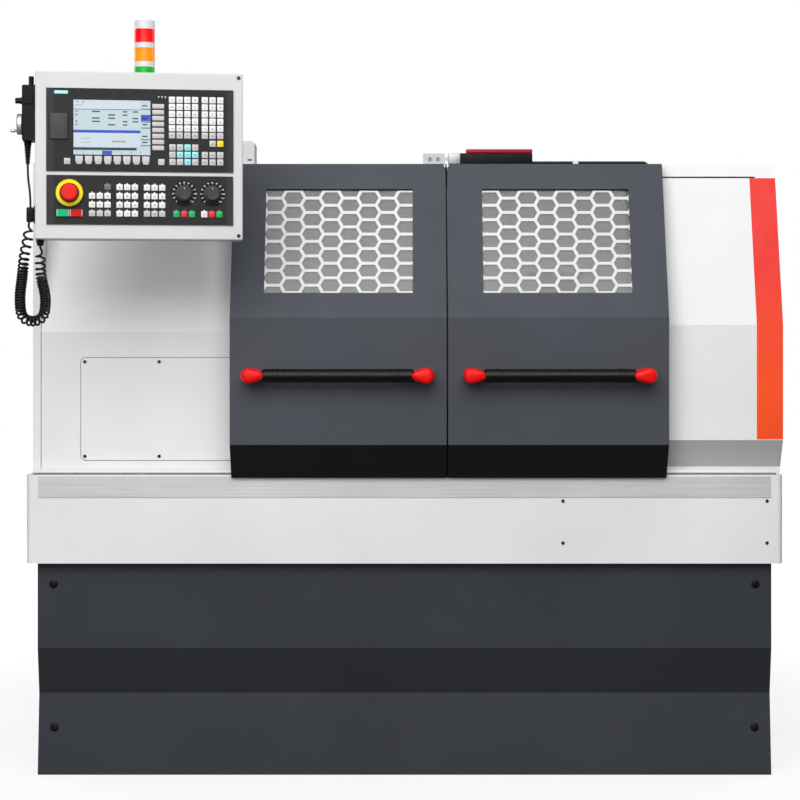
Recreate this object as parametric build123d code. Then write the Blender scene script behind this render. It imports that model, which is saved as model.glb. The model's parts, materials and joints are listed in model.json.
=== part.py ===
from build123d import *
import math
import os

# A flat-bed turning lathe: a folded-sheet stand, a chip tray, a bed with headstock, carriage and tailstock,
# two sliding doors with hexagonal guards, a swivelling control pendant and a signal tower.
# Millimetres. X runs along the spindle towards the tailstock, Y away from the operator, Z up.
# The origin is on the floor, under the middle of the stand.

# Sheet metal, cuts and clearances
SHEET = 2.0
HEAVY_SHEET = 3.0
CUT_OVERRUN = 5.0
SLIDE_GAP = 0.3
SHAFT_GAP = 0.05

# Base stand
STAND_INSET = 24.0
STAND_SETBACK = 25.0
STAND_HEIGHT = 519.0
STAND_FLOOR = 8.0
BAND_TOP = 310.0
BAND_BOTTOM = 197.0
BAND_RECESS = 22.0
PEDESTAL_LENGTH = 260.0
PEDESTAL_DEPTH = 320.0
PEDESTAL_WALL = 10.0
PEDESTAL_INSET = 316.0
LEVELLING_INSET_X = 76.0
LEVELLING_INSET_Y = 70.0
LEVELLING_HOLE_R = 8.5
LIFTING_INSET = 39.0
LIFTING_DROP = 53.0
LIFTING_LOW = 114.0
LIFTING_HOLE_R = 9.5

# Chip tray and its trim strip
TRAY_LENGTH = 1840.0
TRAY_DEPTH = 750.0
TRAY_HEIGHT = 215.0
TRAY_LIP = 60.0
TRAY_CORNER_R = 14.0
TRIM_INSET = 30.0
TRIM_HEIGHT = 51.0
TRIM_DROP = 3.0
TRIM_THICKNESS = 2.0

# Bed casting, with a V way in front and a flat way behind
BED_SETIN = 70.0
BED_WIDTH = 260.0
BED_RAIL = 60.0
BED_RAIL_DEPTH = 70.0
BED_WEB = 30.0
BED_TROUGH_FLOOR = 30.0
BED_FOOT = 30.0
BED_FOOT_THICKNESS = 20.0
WAY_WIDTH = 40.0
WAY_HEIGHT = 20.0
WAY_SETBACK = 35.0

# Carriage screw, its bearing brackets and servo motor
SCREW_R = 16.0
SCREW_STANDOFF = 75.0
SCREW_DROP = 80.0
SCREW_SETBACK = 30.0
SCREW_SETIN = 150.0
SCREW_END = 20.0
BRACKET_THICKNESS = 40.0
BRACKET_REACH = 34.0
BRACKET_GAP = 2.0
SCREW_BEARING_R = 28.0
SCREW_BEARING_WIDTH = 16.0
SERVO_SIZE = 100.0
SERVO_LENGTH = 120.0

# Headstock casting
HEAD_SETIN = 92.0
HEAD_WIDTH = 300.0
HEAD_HEIGHT = 310.0
HEAD_SETBACK = 15.0
HEAD_ROUND = 20.0
HEAD_BORE_R = 60.0
CENTRE_HEIGHT = 165.0
SPINDLE_DROP = 452.0

# Spindle, its bearings and its pulley
SPINDLE_R = 45.0
SPINDLE_BORE_R = 26.0
SPINDLE_TAIL = 84.0
NOSE_R = 72.0
NOSE_LENGTH = 16.0
NOSE_GAP = 3.0
SPINDLE_BEARING_R = 75.0
SPINDLE_BEARING_WIDTH = 40.0
SPINDLE_PULLEY_R = 75.0
PULLEY_WIDTH = 30.0
PULLEY_SETIN = 4.0

# Spindle motor, motor pulley and belt
MOTOR_SIZE = 170.0
MOTOR_LENGTH = 280.0
MOTOR_BACK = 150.0
MOTOR_FOOT_HEIGHT = 55.0
MOTOR_SHAFT_R = 14.0
MOTOR_SHAFT_DEPTH = 60.0
MOTOR_FOOT_LENGTH = 220.0
MOTOR_PULLEY_R = 50.0
BELT_WIDTH = 26.0
BELT_THICKNESS = 6.0

# Chuck and jaws
CHUCK_R = 100.0
CHUCK_LENGTH = 80.0
CHUCK_BORE_R = 30.0
JAW_COUNT = 3
JAW_WIDTH = 24.0
JAW_SLOT_DEPTH = 14.0
JAW_INNER_R = 40.0
JAW_LENGTH = 58.0
JAW_STEP = 22.0
JAW_TALL = 45.0
JAW_SHORT = 22.0

# Carriage, cross slide and tool turret
CARRIAGE_SETBACK = 227.0
SADDLE_LENGTH = 240.0
SADDLE_HEIGHT = 45.0
SADDLE_BACK = 190.0
APRON_LENGTH = 120.0
APRON_HALF = 35.0
APRON_DROP = 130.0
GUIDE_WIDTH = 70.0
GUIDE_HEIGHT = 14.0
CROSS_LENGTH = 300.0
CROSS_WIDTH = 170.0
CROSS_HEIGHT = 40.0
CROSS_Y = -90.0
TURRET_Y = -120.0
TURRET_BASE_R = 62.0
TURRET_BASE_HEIGHT = 35.0
TURRET_SIZE = 150.0
TURRET_HEIGHT = 100.0
TURRET_POST_R = 20.0
TURRET_POST_HEIGHT = 40.0
TOOL_SLOT_DEPTH = 30.0
TOOL_SLOT_HEIGHT = 28.0
TURRET_CAP_R = 52.0
TURRET_CAP_HEIGHT = 120.0
TURRET_CAP_ROUND = 30.0

# Tailstock and quill
TAIL_SETIN = 38.0
TAIL_LENGTH = 180.0
TAIL_WIDTH = 240.0
TAIL_BASE_HEIGHT = 70.0
TAIL_COLUMN = 110.0
BARREL_R = 58.0
BARREL_OVERHANG = 10.0
BARREL_END_WALL = 12.0
QUILL_R = 30.0
QUILL_LENGTH = 190.0
QUILL_OUT = 44.0
CENTRE_R = 18.0
CENTRE_TAPER = 32.0
CENTRE_SHANK = 12.0

# Covers: all stand on the tray lip and share one roof height
COVER_HEIGHT = 763.0
COVER_REAR_SETBACK = 45.0
COVER_FLANGE = 30.0
END_COVER_SETIN = 8.0
END_COVER_DEPTH = 20.0
BAR_HOLE_R = 45.0
HEAD_COVER_LENGTH = 492.0
HEAD_COVER_SETBACK = 50.0
HEAD_COVER_FOLD = 347.0
HEAD_COVER_LEAN = 19.3
NOSE_OPENING_R = 80.0
BED_OPENING_GAP = 4.0
ACCESS_INSET = 98.0
ACCESS_RIGHT_INSET = 10.0
ACCESS_RISE = 33.0
ACCESS_HEIGHT = 251.0
ACCESS_THICKNESS = 1.5
ACCESS_CORNER_R = 12.0
TAIL_COVER_LENGTH = 308.0
TAIL_STRIP_HEIGHT = 18.0
TAIL_STRIP_SETBACK = 38.0
TAIL_CHAMFER_HEIGHT = 67.0
TAIL_FACE_HEIGHT = 280.0
TAIL_COVER_LEAN = 16.0
LID_DROP = 34.0
LID_SLOT = 4.0
LID_SLOT_INSET = 50.0
REAR_RETURN = 20.0

# Door rails
TRACK_INSET = 15.0
TRACK_WIDTH = 12.0
TRACK_HEIGHT = 14.0
TRACK_SETBACK = 13.0
RAIL_DEPTH = 124.0
RAIL_HEIGHT = 40.0
RAIL_DROP = 7.0

# Doors
DOOR_STANDOFF = 60.0
DOOR_OVERHANG = 6.0
DOOR_CHAMFER_HEIGHT = 83.0
DOOR_CHAMFER_RUN = 48.0
DOOR_FACE_HEIGHT = 305.0
DOOR_LEAN = 19.3
DOOR_TOP_DROP = 1.0
DOOR_TOP_RETURN = 28.0
DOOR_LIP = 20.0
DOOR_FLANGE = 24.0
DOOR_OVERLAP_LEFT = 20.0
DOOR_OVERLAP_RIGHT = 23.0
SEAM_OFFSET = -3.0
DOOR_SEAM_GAP = 4.0
SEAM_NOTCH_WIDTH = 5.0
SEAM_NOTCH_HEIGHT = 18.0
SHOE_LENGTH = 60.0
SHOE_INSET = 60.0
SHOE_CHEEK = 4.0
SHOE_HEIGHT = 12.0
SHOE_SKIRT = 10.0

# Windows and hexagonal guards
WINDOW_INSET = 81.0
WINDOW_RISE = 64.0
WINDOW_DROP = 67.6
PANE_LAP = 18.0
PANE_THICKNESS = 5.0
GUARD_THICKNESS = 2.0
GUARD_FLAT = 36.0
GUARD_SLANT = 10.0
GUARD_ROW = 38.0
GUARD_RIB = 7.6
GUARD_TOP_RIB = 4.0
GUARD_SHOW = 6.0
LEFT_GUARD_SHIFT = -20.0
RIGHT_GUARD_SHIFT = 23.0

# Door handles
HANDLE_INSET = 29.5
HANDLE_DROP = 138.0
HANDLE_STANDOFF = 40.0
HANDLE_BAR_R = 16.0
HANDLE_END_LENGTH = 60.0
HANDLE_END_R = 19.0
HANDLE_TIP_R = 6.0
HANDLE_END_DEPTH = 60.0
HANDLE_END_ROUND = 4.0
HANDLE_SOCKET = 40.0

# Door interlock: a key on the left door, a switch and its cable on the right one
INTERLOCK_INSET = 3.0
KEY_LENGTH = 54.0
KEY_SETBACK = 57.0
KEY_THICKNESS = 4.0
KEY_HEIGHT = 27.0
KEY_HOLE_R = 3.0
KEY_HOLE_SPACING = 20.0
TONGUE_LENGTH = 22.0
TONGUE_HEIGHT = 8.0
TONGUE_GAP = 1.0
SWITCH_SETBACK = 5.0
SWITCH_HEAD_LENGTH = 30.0
SWITCH_LENGTH = 178.0
SWITCH_DEPTH = 22.0
SWITCH_HEIGHT = 27.0
SWITCH_LID_HEIGHT = 10.0
SWITCH_LID_INSET = 14.0
CABLE_R = 3.5
CABLE_INSET = 32.0
CABLE_BEND = 14.0
CABLE_DROP = 8.0

# Electrical cabinet and its door
CABINET_INSET = 12.0
CABINET_LENGTH = 560.0
CABINET_DEPTH = 230.0
CABINET_RISE = 20.0
CABINET_DROP = 23.0
CABINET_RIM = 25.0
DRIVE_COUNT = 4
DRIVE_WIDTH = 90.0
DRIVE_DEPTH = 70.0
DRIVE_HEIGHT = 260.0
DRIVE_DROP = 80.0
CABINET_DOOR_DEPTH = 20.0
CABINET_DOOR_GAP = 0.5
HINGE_OUT = 6.0
HINGE_R = 6.0
HINGE_PIN_R = 3.0
HINGE_HEIGHT = 40.0
HINGE_INSET = 110.0
HINGE_LEAF = 36.0
HINGE_LEAF_THICKNESS = 4.0

# Signal tower
TOWER_INSET = 207.0
TOWER_SETBACK = 190.0
TOWER_R = 27.0
TOWER_POLE_R = 11.0
TOWER_FLANGE_R = 35.0
TOWER_FLANGE_HEIGHT = 8.0
TOWER_POLE_HEIGHT = 203.0
TOWER_BASE_HEIGHT = 41.0
TOWER_CORE_R = 9.0
TOWER_RING_HEIGHT = 14.0
TOWER_CAP_HEIGHT = 22.0
LENS_COLOURS = ("green", "amber", "red")
LENS_HEIGHT = 36.0
LENS_WALL = 3.0

# Pendant arm on the headstock cover's roof
ARM_INSET = 232.0
ARM_OVERHANG = 18.5
ARM_SETBACK = 29.3
ARM_REACH = 385.0
ARM_BASE_DEPTH = 90.0
ARM_BASE_HEIGHT = 69.0
ARM_BASE_ROUND = 8.0
ARM_NECK_WIDTH = 60.0
ARM_NECK_HEIGHT = 44.0
ARM_NECK_RISE = 8.0
PIVOT_INSET = 36.0
PIVOT_BARREL_R = 22.0
PIVOT_BARREL_OVER = 12.0
PIVOT_PIN_R = 8.0

# Pendant housing, turned about the pivot at rest
PENDANT_TURN = 8.0
PENDANT_WIDTH = 472.0
PENDANT_HEIGHT = 383.0
PENDANT_DROP = 202.0
PENDANT_REACH = 120.0
PENDANT_DEPTH = 95.0
PENDANT_ROUND = 3.0
EAR_WIDTH = 36.0
EAR_THICKNESS = 8.0

# Control panels on the pendant's front
PANEL_THICKNESS = 3.0
PANEL_CENTRE = 1.5
PANEL_TUB_INSET = 12.0
PANEL_TUB_GAP = 1.0
PANEL_TUB_DEPTH = 35.0
DISPLAY_MARGIN = 23.5
DISPLAY_HEIGHT = 189.5
DISPLAY_RISE = 155.0
OPERATOR_MARGIN = 24.0
OPERATOR_HEIGHT = 112.5
OPERATOR_RISE = 33.5
SCREEN_WIDTH = 174.0
SCREEN_HEIGHT = 125.0
SCREEN_THICKNESS = 1.6
SCREEN_RECESS = 2.0
SCREEN_CENTRE_SHARES = (0.349, 0.530)

# Key caps: columns, rows, first place, pitch (shares of the panel's width and height), then width and height
KEY_THICK = 2.0
SMALL_KEY = 14.4
SOFT_KEY_WIDTH = 17.0
SOFT_KEY_HEIGHT = 19.0
SIDE_KEY_WIDTH = 27.0
SIDE_KEY_HEIGHT = 10.6
LOW_KEY_HEIGHT = 13.4
DISPLAY_KEY_SHARES = (
    (8, 1, 0.1741, 0.1346, 0.0508, 0.0, SOFT_KEY_WIDTH, SOFT_KEY_HEIGHT),
    (1, 1, 0.1108, 0.1190, 0.0, 0.0, SMALL_KEY, SMALL_KEY),
    (1, 1, 0.6125, 0.1190, 0.0, 0.0, SMALL_KEY, SMALL_KEY),
    (1, 8, 0.5955, 0.7926, 0.0, 0.0720, SIDE_KEY_WIDTH, SIDE_KEY_HEIGHT),
    (4, 6, 0.6694, 0.8744, 0.0413, 0.0864, SMALL_KEY, SMALL_KEY),
    (3, 6, 0.8459, 0.8744, 0.0416, 0.0864, SMALL_KEY, SMALL_KEY),
    (2, 1, 0.8880, 0.3480, 0.0412, 0.0, SMALL_KEY, SMALL_KEY),
    (4, 3, 0.6720, 0.2982, 0.0407, 0.0882, SMALL_KEY, SMALL_KEY),
    (3, 2, 0.8459, 0.2100, 0.0416, 0.0882, SMALL_KEY, SMALL_KEY),
)
OPERATOR_KEY_SHARES = (
    (1, 1, 0.3249, 0.7627, 0.0, 0.0, SMALL_KEY, LOW_KEY_HEIGHT),
    (3, 3, 0.2425, 0.5804, 0.0412, 0.1782, SMALL_KEY, LOW_KEY_HEIGHT),
    (3, 4, 0.3892, 0.7591, 0.0408, 0.1790, SMALL_KEY, LOW_KEY_HEIGHT),
    (3, 4, 0.5356, 0.7556, 0.0407, 0.1775, SMALL_KEY, LOW_KEY_HEIGHT),
    (3, 1, 0.6939, 0.2218, 0.0416, 0.0, SMALL_KEY, SMALL_KEY),
    (3, 1, 0.8436, 0.2218, 0.0410, 0.0, SMALL_KEY, SMALL_KEY),
)

# Interface cover, buttons and knobs on the panels
USB_WIDTH = 39.0
USB_HEIGHT = 60.0
USB_THICKNESS = 3.0
USB_HINGE_R = 1.5
USB_CENTRE_SHARES = (0.068, 0.540)
ESTOP_SHARES = (0.1217, 0.6391)
ESTOP_COLLAR_R = 32.0
ESTOP_COLLAR_HEIGHT = 6.0
ESTOP_R = 19.5
ESTOP_STEM_R = 11.0
ESTOP_HEAD_HEIGHT = 16.0
ESTOP_GAP = 7.0
ESTOP_ROUND = 6.0
START_SHARES = (0.0875, 0.2311)
STOP_SHARES = (0.1580, 0.2311)
BUTTON_WIDTH = 24.0
BUTTON_HEIGHT = 16.0
BUTTON_PROUD = 5.0
BUTTON_SEAT = 6.0
FEED_KNOB_SHARES = (0.7354, 0.6390)
SPEED_KNOB_SHARES = (0.8877, 0.6390)
KNOB_R = 15.5
KNOB_SKIRT_R = 19.0
KNOB_SKIRT_HEIGHT = 4.0
KNOB_HEIGHT = 16.0
KNOB_SHAFT_R = 4.0
CONTROL_SEAT = 12.0

# Hand-wheel unit on the pendant's left side
MPG_THICKNESS = 30.0
MPG_DEPTH = 70.0
MPG_HEIGHT = 126.0
MPG_RISE = 225.0
MPG_BACK = 80.0
MPG_ROUND = 4.0
MPG_STUB_R = 6.0
MPG_STUB_HEIGHT = 23.0
MPG_STUB_INSET = 10.0
MPG_BUMP_WIDTH = 19.0
MPG_BUMP_HEIGHT = 26.0
MPG_BUMP_DEPTH = 5.0
MPG_BUMP_RISE = 96.0
WHEEL_RISE = 39.0
WHEEL_R = 24.0
WHEEL_THICKNESS = 13.0
WHEEL_ROUND = 2.0
CRANK_R = 4.0
CRANK_LENGTH = 14.0
CRANK_ARM = 15.0
SELECTOR_RISE = 93.0
SELECTOR_R = 8.0
SELECTOR_LENGTH = 16.0
MPG_SHAFT_R = 4.0
MPG_SHAFT_DEPTH = 10.0

# Cord of the hand-wheel unit: reliefs, clamp, straight stretch and curly stretch
CORD_R = 2.5
COIL_R = 13.0
RELIEF_LENGTH = 52.0
RELIEF_TOP_R = 8.5
RELIEF_END_R = 5.2
CLAMP_WIDTH = 21.0
CLAMP_DEPTH = 20.0
CLAMP_HEIGHT = 34.0
CLAMP_RISE = 40.0
GLAND_R = 9.0
GLAND_LENGTH = 14.0
ARC_SHARE = 0.45

# Route points: across from the pendant's left side and up from its bottom, at MPG_BACK in front of the pivot
CORD_ROUTE = (
    (-18.0, MPG_RISE - RELIEF_LENGTH),
    (-18.0, 141.0),
    (-12.0, 105.0),
    (-12.0, CLAMP_RISE + CLAMP_HEIGHT),
)
COIL_ROUTE = (
    (-15.0, CLAMP_RISE),
    (-15.0, 13.0),
    (-26.0, -33.0),
    (-30.0, -83.0),
    (-37.0, -135.0),
    (-31.0, -187.0),
    (17.0, -187.0),
    (24.0, -135.0),
    (11.0, -85.0),
    (10.0, -45.0),
    (10.0, -GLAND_LENGTH),
)

# Planes and places that the sizes give
STAND_LENGTH = TRAY_LENGTH - 2 * STAND_INSET
STAND_DEPTH = TRAY_DEPTH - 2 * STAND_SETBACK
PEDESTAL_SPACING = STAND_LENGTH - 2 * PEDESTAL_INSET
LEVELLING_SPAN_X = STAND_LENGTH - 2 * LEVELLING_INSET_X
LEVELLING_SPAN_Y = STAND_DEPTH - 2 * LEVELLING_INSET_Y
LIFTING_SPAN = STAND_LENGTH - 2 * LIFTING_INSET
LIFTING_HIGH = STAND_HEIGHT - LIFTING_DROP
TRIM_LENGTH = TRAY_LENGTH - 2 * TRIM_INSET
TRACK_LENGTH = TRAY_LENGTH - 2 * TRACK_INSET
TRAY_FLOOR = STAND_HEIGHT + HEAVY_SHEET
TRAY_TOP = STAND_HEIGHT + TRAY_HEIGHT
TRAY_FRONT = -TRAY_DEPTH / 2
TRAY_LEFT = -TRAY_LENGTH / 2
TRAY_RIGHT = TRAY_LENGTH / 2
ROOF = TRAY_TOP + COVER_HEIGHT
COVER_REAR = TRAY_DEPTH / 2 - COVER_REAR_SETBACK
END_COVER_LEFT = TRAY_LEFT + END_COVER_SETIN
HEAD_COVER_LEFT = END_COVER_LEFT + END_COVER_DEPTH
CHAMBER_LEFT = HEAD_COVER_LEFT + HEAD_COVER_LENGTH
CHAMBER_RIGHT = TRAY_RIGHT - TAIL_COVER_LENGTH
ACCESS_LENGTH = HEAD_COVER_LENGTH - ACCESS_INSET - ACCESS_RIGHT_INSET
LID_SLOT_LENGTH = TAIL_COVER_LENGTH - LID_SLOT_INSET
BED_LEFT = TRAY_LEFT + BED_SETIN
BED_LENGTH = TRAY_LENGTH - 2 * BED_SETIN
SPINDLE_Z = ROOF - SPINDLE_DROP
WAY_Z = SPINDLE_Z - CENTRE_HEIGHT
WAY_Y = -BED_WIDTH / 2 + WAY_SETBACK
HEAD_RIGHT = CHAMBER_LEFT - HEAD_SETBACK
HEAD_LEFT = HEAD_COVER_LEFT + HEAD_SETIN
NOSE_LEFT = HEAD_RIGHT + NOSE_GAP
NOSE_RIGHT = NOSE_LEFT + NOSE_LENGTH
SPINDLE_LEFT = HEAD_LEFT - SPINDLE_TAIL
PULLEY_LEFT = SPINDLE_LEFT + PULLEY_SETIN
CHUCK_FACE = NOSE_RIGHT + CHUCK_LENGTH
MOTOR_Z = WAY_Z + HEAD_HEIGHT + MOTOR_FOOT_HEIGHT + MOTOR_SIZE / 2
SCREW_Y = -BED_WIDTH / 2 - SCREW_STANDOFF
SCREW_Z = WAY_Z - SCREW_DROP
SCREW_LEFT = CHAMBER_LEFT - SCREW_SETBACK
SCREW_RIGHT = TRAY_RIGHT - SCREW_SETIN
CARRIAGE_X = CHAMBER_RIGHT - CARRIAGE_SETBACK
TAIL_LEFT = CHAMBER_RIGHT + TAIL_SETIN
SADDLE_TOP = WAY_Z + SADDLE_HEIGHT
CROSS_TOP = SADDLE_TOP + SLIDE_GAP + CROSS_HEIGHT
TURRET_Z = CROSS_TOP + TURRET_BASE_HEIGHT + SLIDE_GAP
DOOR_FRONT = TRAY_FRONT - DOOR_STANDOFF
DOOR_BOTTOM = TRAY_TOP - DOOR_OVERHANG
DOOR_FACE_BOTTOM = DOOR_BOTTOM + DOOR_CHAMFER_HEIGHT
DOOR_FOLD = DOOR_FACE_BOTTOM + DOOR_FACE_HEIGHT
DOOR_TOP = ROOF - DOOR_TOP_DROP
DOOR_TOP_FRONT = DOOR_FRONT + (DOOR_TOP - DOOR_FOLD) * math.tan(math.radians(DOOR_LEAN))
DOOR_TOP_BACK = DOOR_TOP_FRONT + DOOR_TOP_RETURN
DOOR_SEAM_X = (CHAMBER_LEFT + CHAMBER_RIGHT) / 2 + SEAM_OFFSET
LEFT_DOOR = (CHAMBER_LEFT - DOOR_OVERLAP_LEFT, DOOR_SEAM_X - DOOR_SEAM_GAP / 2)
RIGHT_DOOR = (DOOR_SEAM_X + DOOR_SEAM_GAP / 2, CHAMBER_RIGHT + DOOR_OVERLAP_RIGHT)
NARROW_DOOR = min(LEFT_DOOR[1] - LEFT_DOOR[0], RIGHT_DOOR[1] - RIGHT_DOOR[0])
DOOR_SLOPE = (DOOR_TOP - DOOR_FOLD) / math.cos(math.radians(DOOR_LEAN))
WINDOW_WIDTH = NARROW_DOOR - 2 * WINDOW_INSET
WINDOW_HEIGHT = DOOR_SLOPE - WINDOW_RISE - WINDOW_DROP
HANDLE_LENGTH = NARROW_DOOR - 2 * HANDLE_INSET
HANDLE_Z = DOOR_FOLD - HANDLE_DROP
KEY_LEFT = DOOR_SEAM_X - KEY_SETBACK
SWITCH_LEFT = DOOR_SEAM_X + SWITCH_SETBACK
TRACK_FRONT = TRAY_FRONT + TRACK_SETBACK
TRACK_BACK = TRACK_FRONT + TRACK_WIDTH
TRACK_TOP = TRAY_TOP + TRACK_HEIGHT
CABINET_LEFT = HEAD_COVER_LEFT + CABINET_INSET
CABINET_RIGHT = CABINET_LEFT + CABINET_LENGTH
CABINET_BOTTOM = TRAY_TOP + CABINET_RISE
CABINET_TOP = ROOF - CABINET_DROP
CABINET_BACK = COVER_REAR + CABINET_DEPTH
HINGE_X = CABINET_LEFT - HINGE_OUT
HINGE_Y = CABINET_BACK + CABINET_DOOR_DEPTH / 2
HEAD_COVER_FRONT = TRAY_FRONT + HEAD_COVER_SETBACK
HEAD_COVER_RUN = (COVER_HEIGHT - HEAD_COVER_FOLD) * math.tan(math.radians(HEAD_COVER_LEAN))
ARM_BASE_LEFT = HEAD_COVER_LEFT + ARM_INSET
ARM_BASE_FRONT = HEAD_COVER_FRONT + HEAD_COVER_RUN + ARM_SETBACK
PIVOT_X = ARM_BASE_LEFT + PIVOT_INSET
PIVOT_Y = ARM_BASE_FRONT - ARM_REACH
TOWER_X = HEAD_COVER_LEFT + TOWER_INSET
TOWER_Y = ARM_BASE_FRONT + TOWER_SETBACK
NECK_BOTTOM = ROOF + ARM_NECK_RISE
NECK_TOP = NECK_BOTTOM + ARM_NECK_HEIGHT
BARREL_BOTTOM = NECK_BOTTOM - PIVOT_BARREL_OVER
BARREL_TOP = NECK_TOP + PIVOT_BARREL_OVER
PENDANT_BOTTOM = ROOF - PENDANT_DROP
PANEL_FACE = -PENDANT_REACH - PANEL_THICKNESS
PENDANT_SIDE = -PENDANT_WIDTH / 2
DISPLAY_WIDTH = PENDANT_WIDTH - 2 * DISPLAY_MARGIN
OPERATOR_WIDTH = PENDANT_WIDTH - 2 * OPERATOR_MARGIN
MPG_FACE = PENDANT_SIDE - MPG_THICKNESS
MPG_BOTTOM = PENDANT_BOTTOM + MPG_RISE
WHEEL_Z = MPG_BOTTOM + WHEEL_RISE
SELECTOR_Z = MPG_BOTTOM + SELECTOR_RISE
LOW = (Align.CENTER, Align.CENTER, Align.MIN)


# Shared shapes
def block(x_range, y_range, z_range):
    """A box between three pairs of planes."""
    size = [high - low for low, high in (x_range, y_range, z_range)]
    middle = [(low + high) / 2 for low, high in (x_range, y_range, z_range)]
    return Pos(*middle) * Box(*size)


def around(middle, size):
    """The range of one axis that is centred on a middle."""
    return (middle - size / 2, middle + size / 2)


def rod(radius, start, end):
    """A round bar between two points."""
    line = Vector(*end) - Vector(*start)
    return Plane(origin=start, z_dir=line.normalized()) * Cylinder(radius, line.length, align=LOW)


def ring(radius, bore, start, end):
    """A bar with a hole through it."""
    line = (Vector(*end) - Vector(*start)).normalized() * CUT_OVERRUN
    return rod(radius, start, end) - rod(bore, Vector(*start) - line, Vector(*end) + line)


def profile(points, x_range):
    """A solid with an outline of (y, z) points, between two planes across X."""
    face = make_face(Polyline([(x_range[0], y, z) for y, z in points], close=True))
    return extrude(face, amount=x_range[1] - x_range[0], dir=(1, 0, 0))


def inset(points, distance):
    """An open line of (y, z) points moved sideways, to the left of its direction."""
    normals = []
    for (y0, z0), (y1, z1) in zip(points, points[1:]):
        length = math.hypot(y1 - y0, z1 - z0)
        normals.append(((z0 - z1) / length, (y1 - y0) / length))
    first = [normals[0]] + normals
    second = normals + [normals[-1]]
    moved = []
    for (y, z), (ay, az), (by, bz) in zip(points, first, second):
        reach = distance / (1 + ay * by + az * bz)
        moved.append((y + reach * (ay + by), z + reach * (az + bz)))
    return moved


def folded(points, thickness):
    """The outline of a sheet folded along a line of (y, z) points."""
    return list(points) + inset(points, thickness)[::-1]


def group(solids):
    """Several separate solids in one node."""
    return Compound(children=list(solids))


# Stand, tray and bed
def base_stand():
    front, rear = around(0, STAND_DEPTH)
    x_range = around(0, STAND_LENGTH)
    fold = [(front, BAND_TOP), (front + BAND_RECESS, BAND_BOTTOM), (front, 0)]
    outer = profile([(front, STAND_HEIGHT)] + fold + [(rear, 0), (rear, STAND_HEIGHT)], x_range)
    over = STAND_HEIGHT + CUT_OVERRUN
    inner_front = inset([(front, over)] + fold, HEAVY_SHEET)
    inner_rear = [(rear - HEAVY_SHEET, 0), (rear - HEAVY_SHEET, over)]
    inner = profile(inner_front + inner_rear, around(0, STAND_LENGTH - 2 * HEAVY_SHEET))
    floor = outer & block(x_range, (front, rear), (0, STAND_FLOOR))
    stand = outer - inner + floor
    for x in around(0, PEDESTAL_SPACING):
        z_range = (STAND_FLOOR, STAND_HEIGHT)
        pedestal = block(around(x, PEDESTAL_LENGTH), around(0, PEDESTAL_DEPTH), z_range)
        hollow_x = around(x, PEDESTAL_LENGTH - 2 * PEDESTAL_WALL)
        hollow_y = around(0, PEDESTAL_DEPTH - 2 * PEDESTAL_WALL)
        stand += pedestal - block(hollow_x, hollow_y, (STAND_FLOOR, over))
    for x in around(0, LEVELLING_SPAN_X):
        for y in around(0, LEVELLING_SPAN_Y):
            stand -= rod(LEVELLING_HOLE_R, (x, y, -CUT_OVERRUN), (x, y, STAND_FLOOR + CUT_OVERRUN))
    for x in around(0, LIFTING_SPAN):
        for z in (LIFTING_HIGH, LIFTING_LOW):
            inside = front + BAND_RECESS + HEAVY_SHEET + CUT_OVERRUN
            stand -= rod(LIFTING_HOLE_R, (x, front - CUT_OVERRUN, z), (x, inside, z))
    return stand


def chip_tray():
    z_range = (STAND_HEIGHT, TRAY_TOP)
    tray = block(around(0, TRAY_LENGTH), around(0, TRAY_DEPTH), z_range)
    tray = fillet(tray.edges().filter_by(Axis.Z), TRAY_CORNER_R)
    wall = 2 * HEAVY_SHEET
    hollow = block(
        around(0, TRAY_LENGTH - wall), around(0, TRAY_DEPTH - wall), (TRAY_FLOOR, TRAY_TOP - HEAVY_SHEET)
    )
    hollow = fillet(hollow.edges().filter_by(Axis.Z), TRAY_CORNER_R - HEAVY_SHEET)
    mouth_z = (TRAY_FLOOR, TRAY_TOP + CUT_OVERRUN)
    mouth = block(around(0, TRAY_LENGTH - 2 * TRAY_LIP), around(0, TRAY_DEPTH - 2 * TRAY_LIP), mouth_z)
    return tray - hollow - mouth


def trim_strip():
    top = TRAY_TOP - TRIM_DROP
    return block(
        around(0, TRIM_LENGTH), (TRAY_FRONT - TRIM_THICKNESS, TRAY_FRONT), (top - TRIM_HEIGHT, top)
    )


def way_outline(gap):
    """The V way's triangle, grown by a running gap."""
    half = WAY_WIDTH / 2
    slope = WAY_HEIGHT / half
    grow = gap * math.hypot(1, slope) / slope
    top = WAY_Z + WAY_HEIGHT + grow * slope
    return [(WAY_Y - half - grow, WAY_Z), (WAY_Y, top), (WAY_Y + half + grow, WAY_Z)]


def way_groove(x_range):
    """The cut that lets a sliding base pass over the V way."""
    return profile(way_outline(SLIDE_GAP), (x_range[0] - CUT_OVERRUN, x_range[1] + CUT_OVERRUN))


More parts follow.
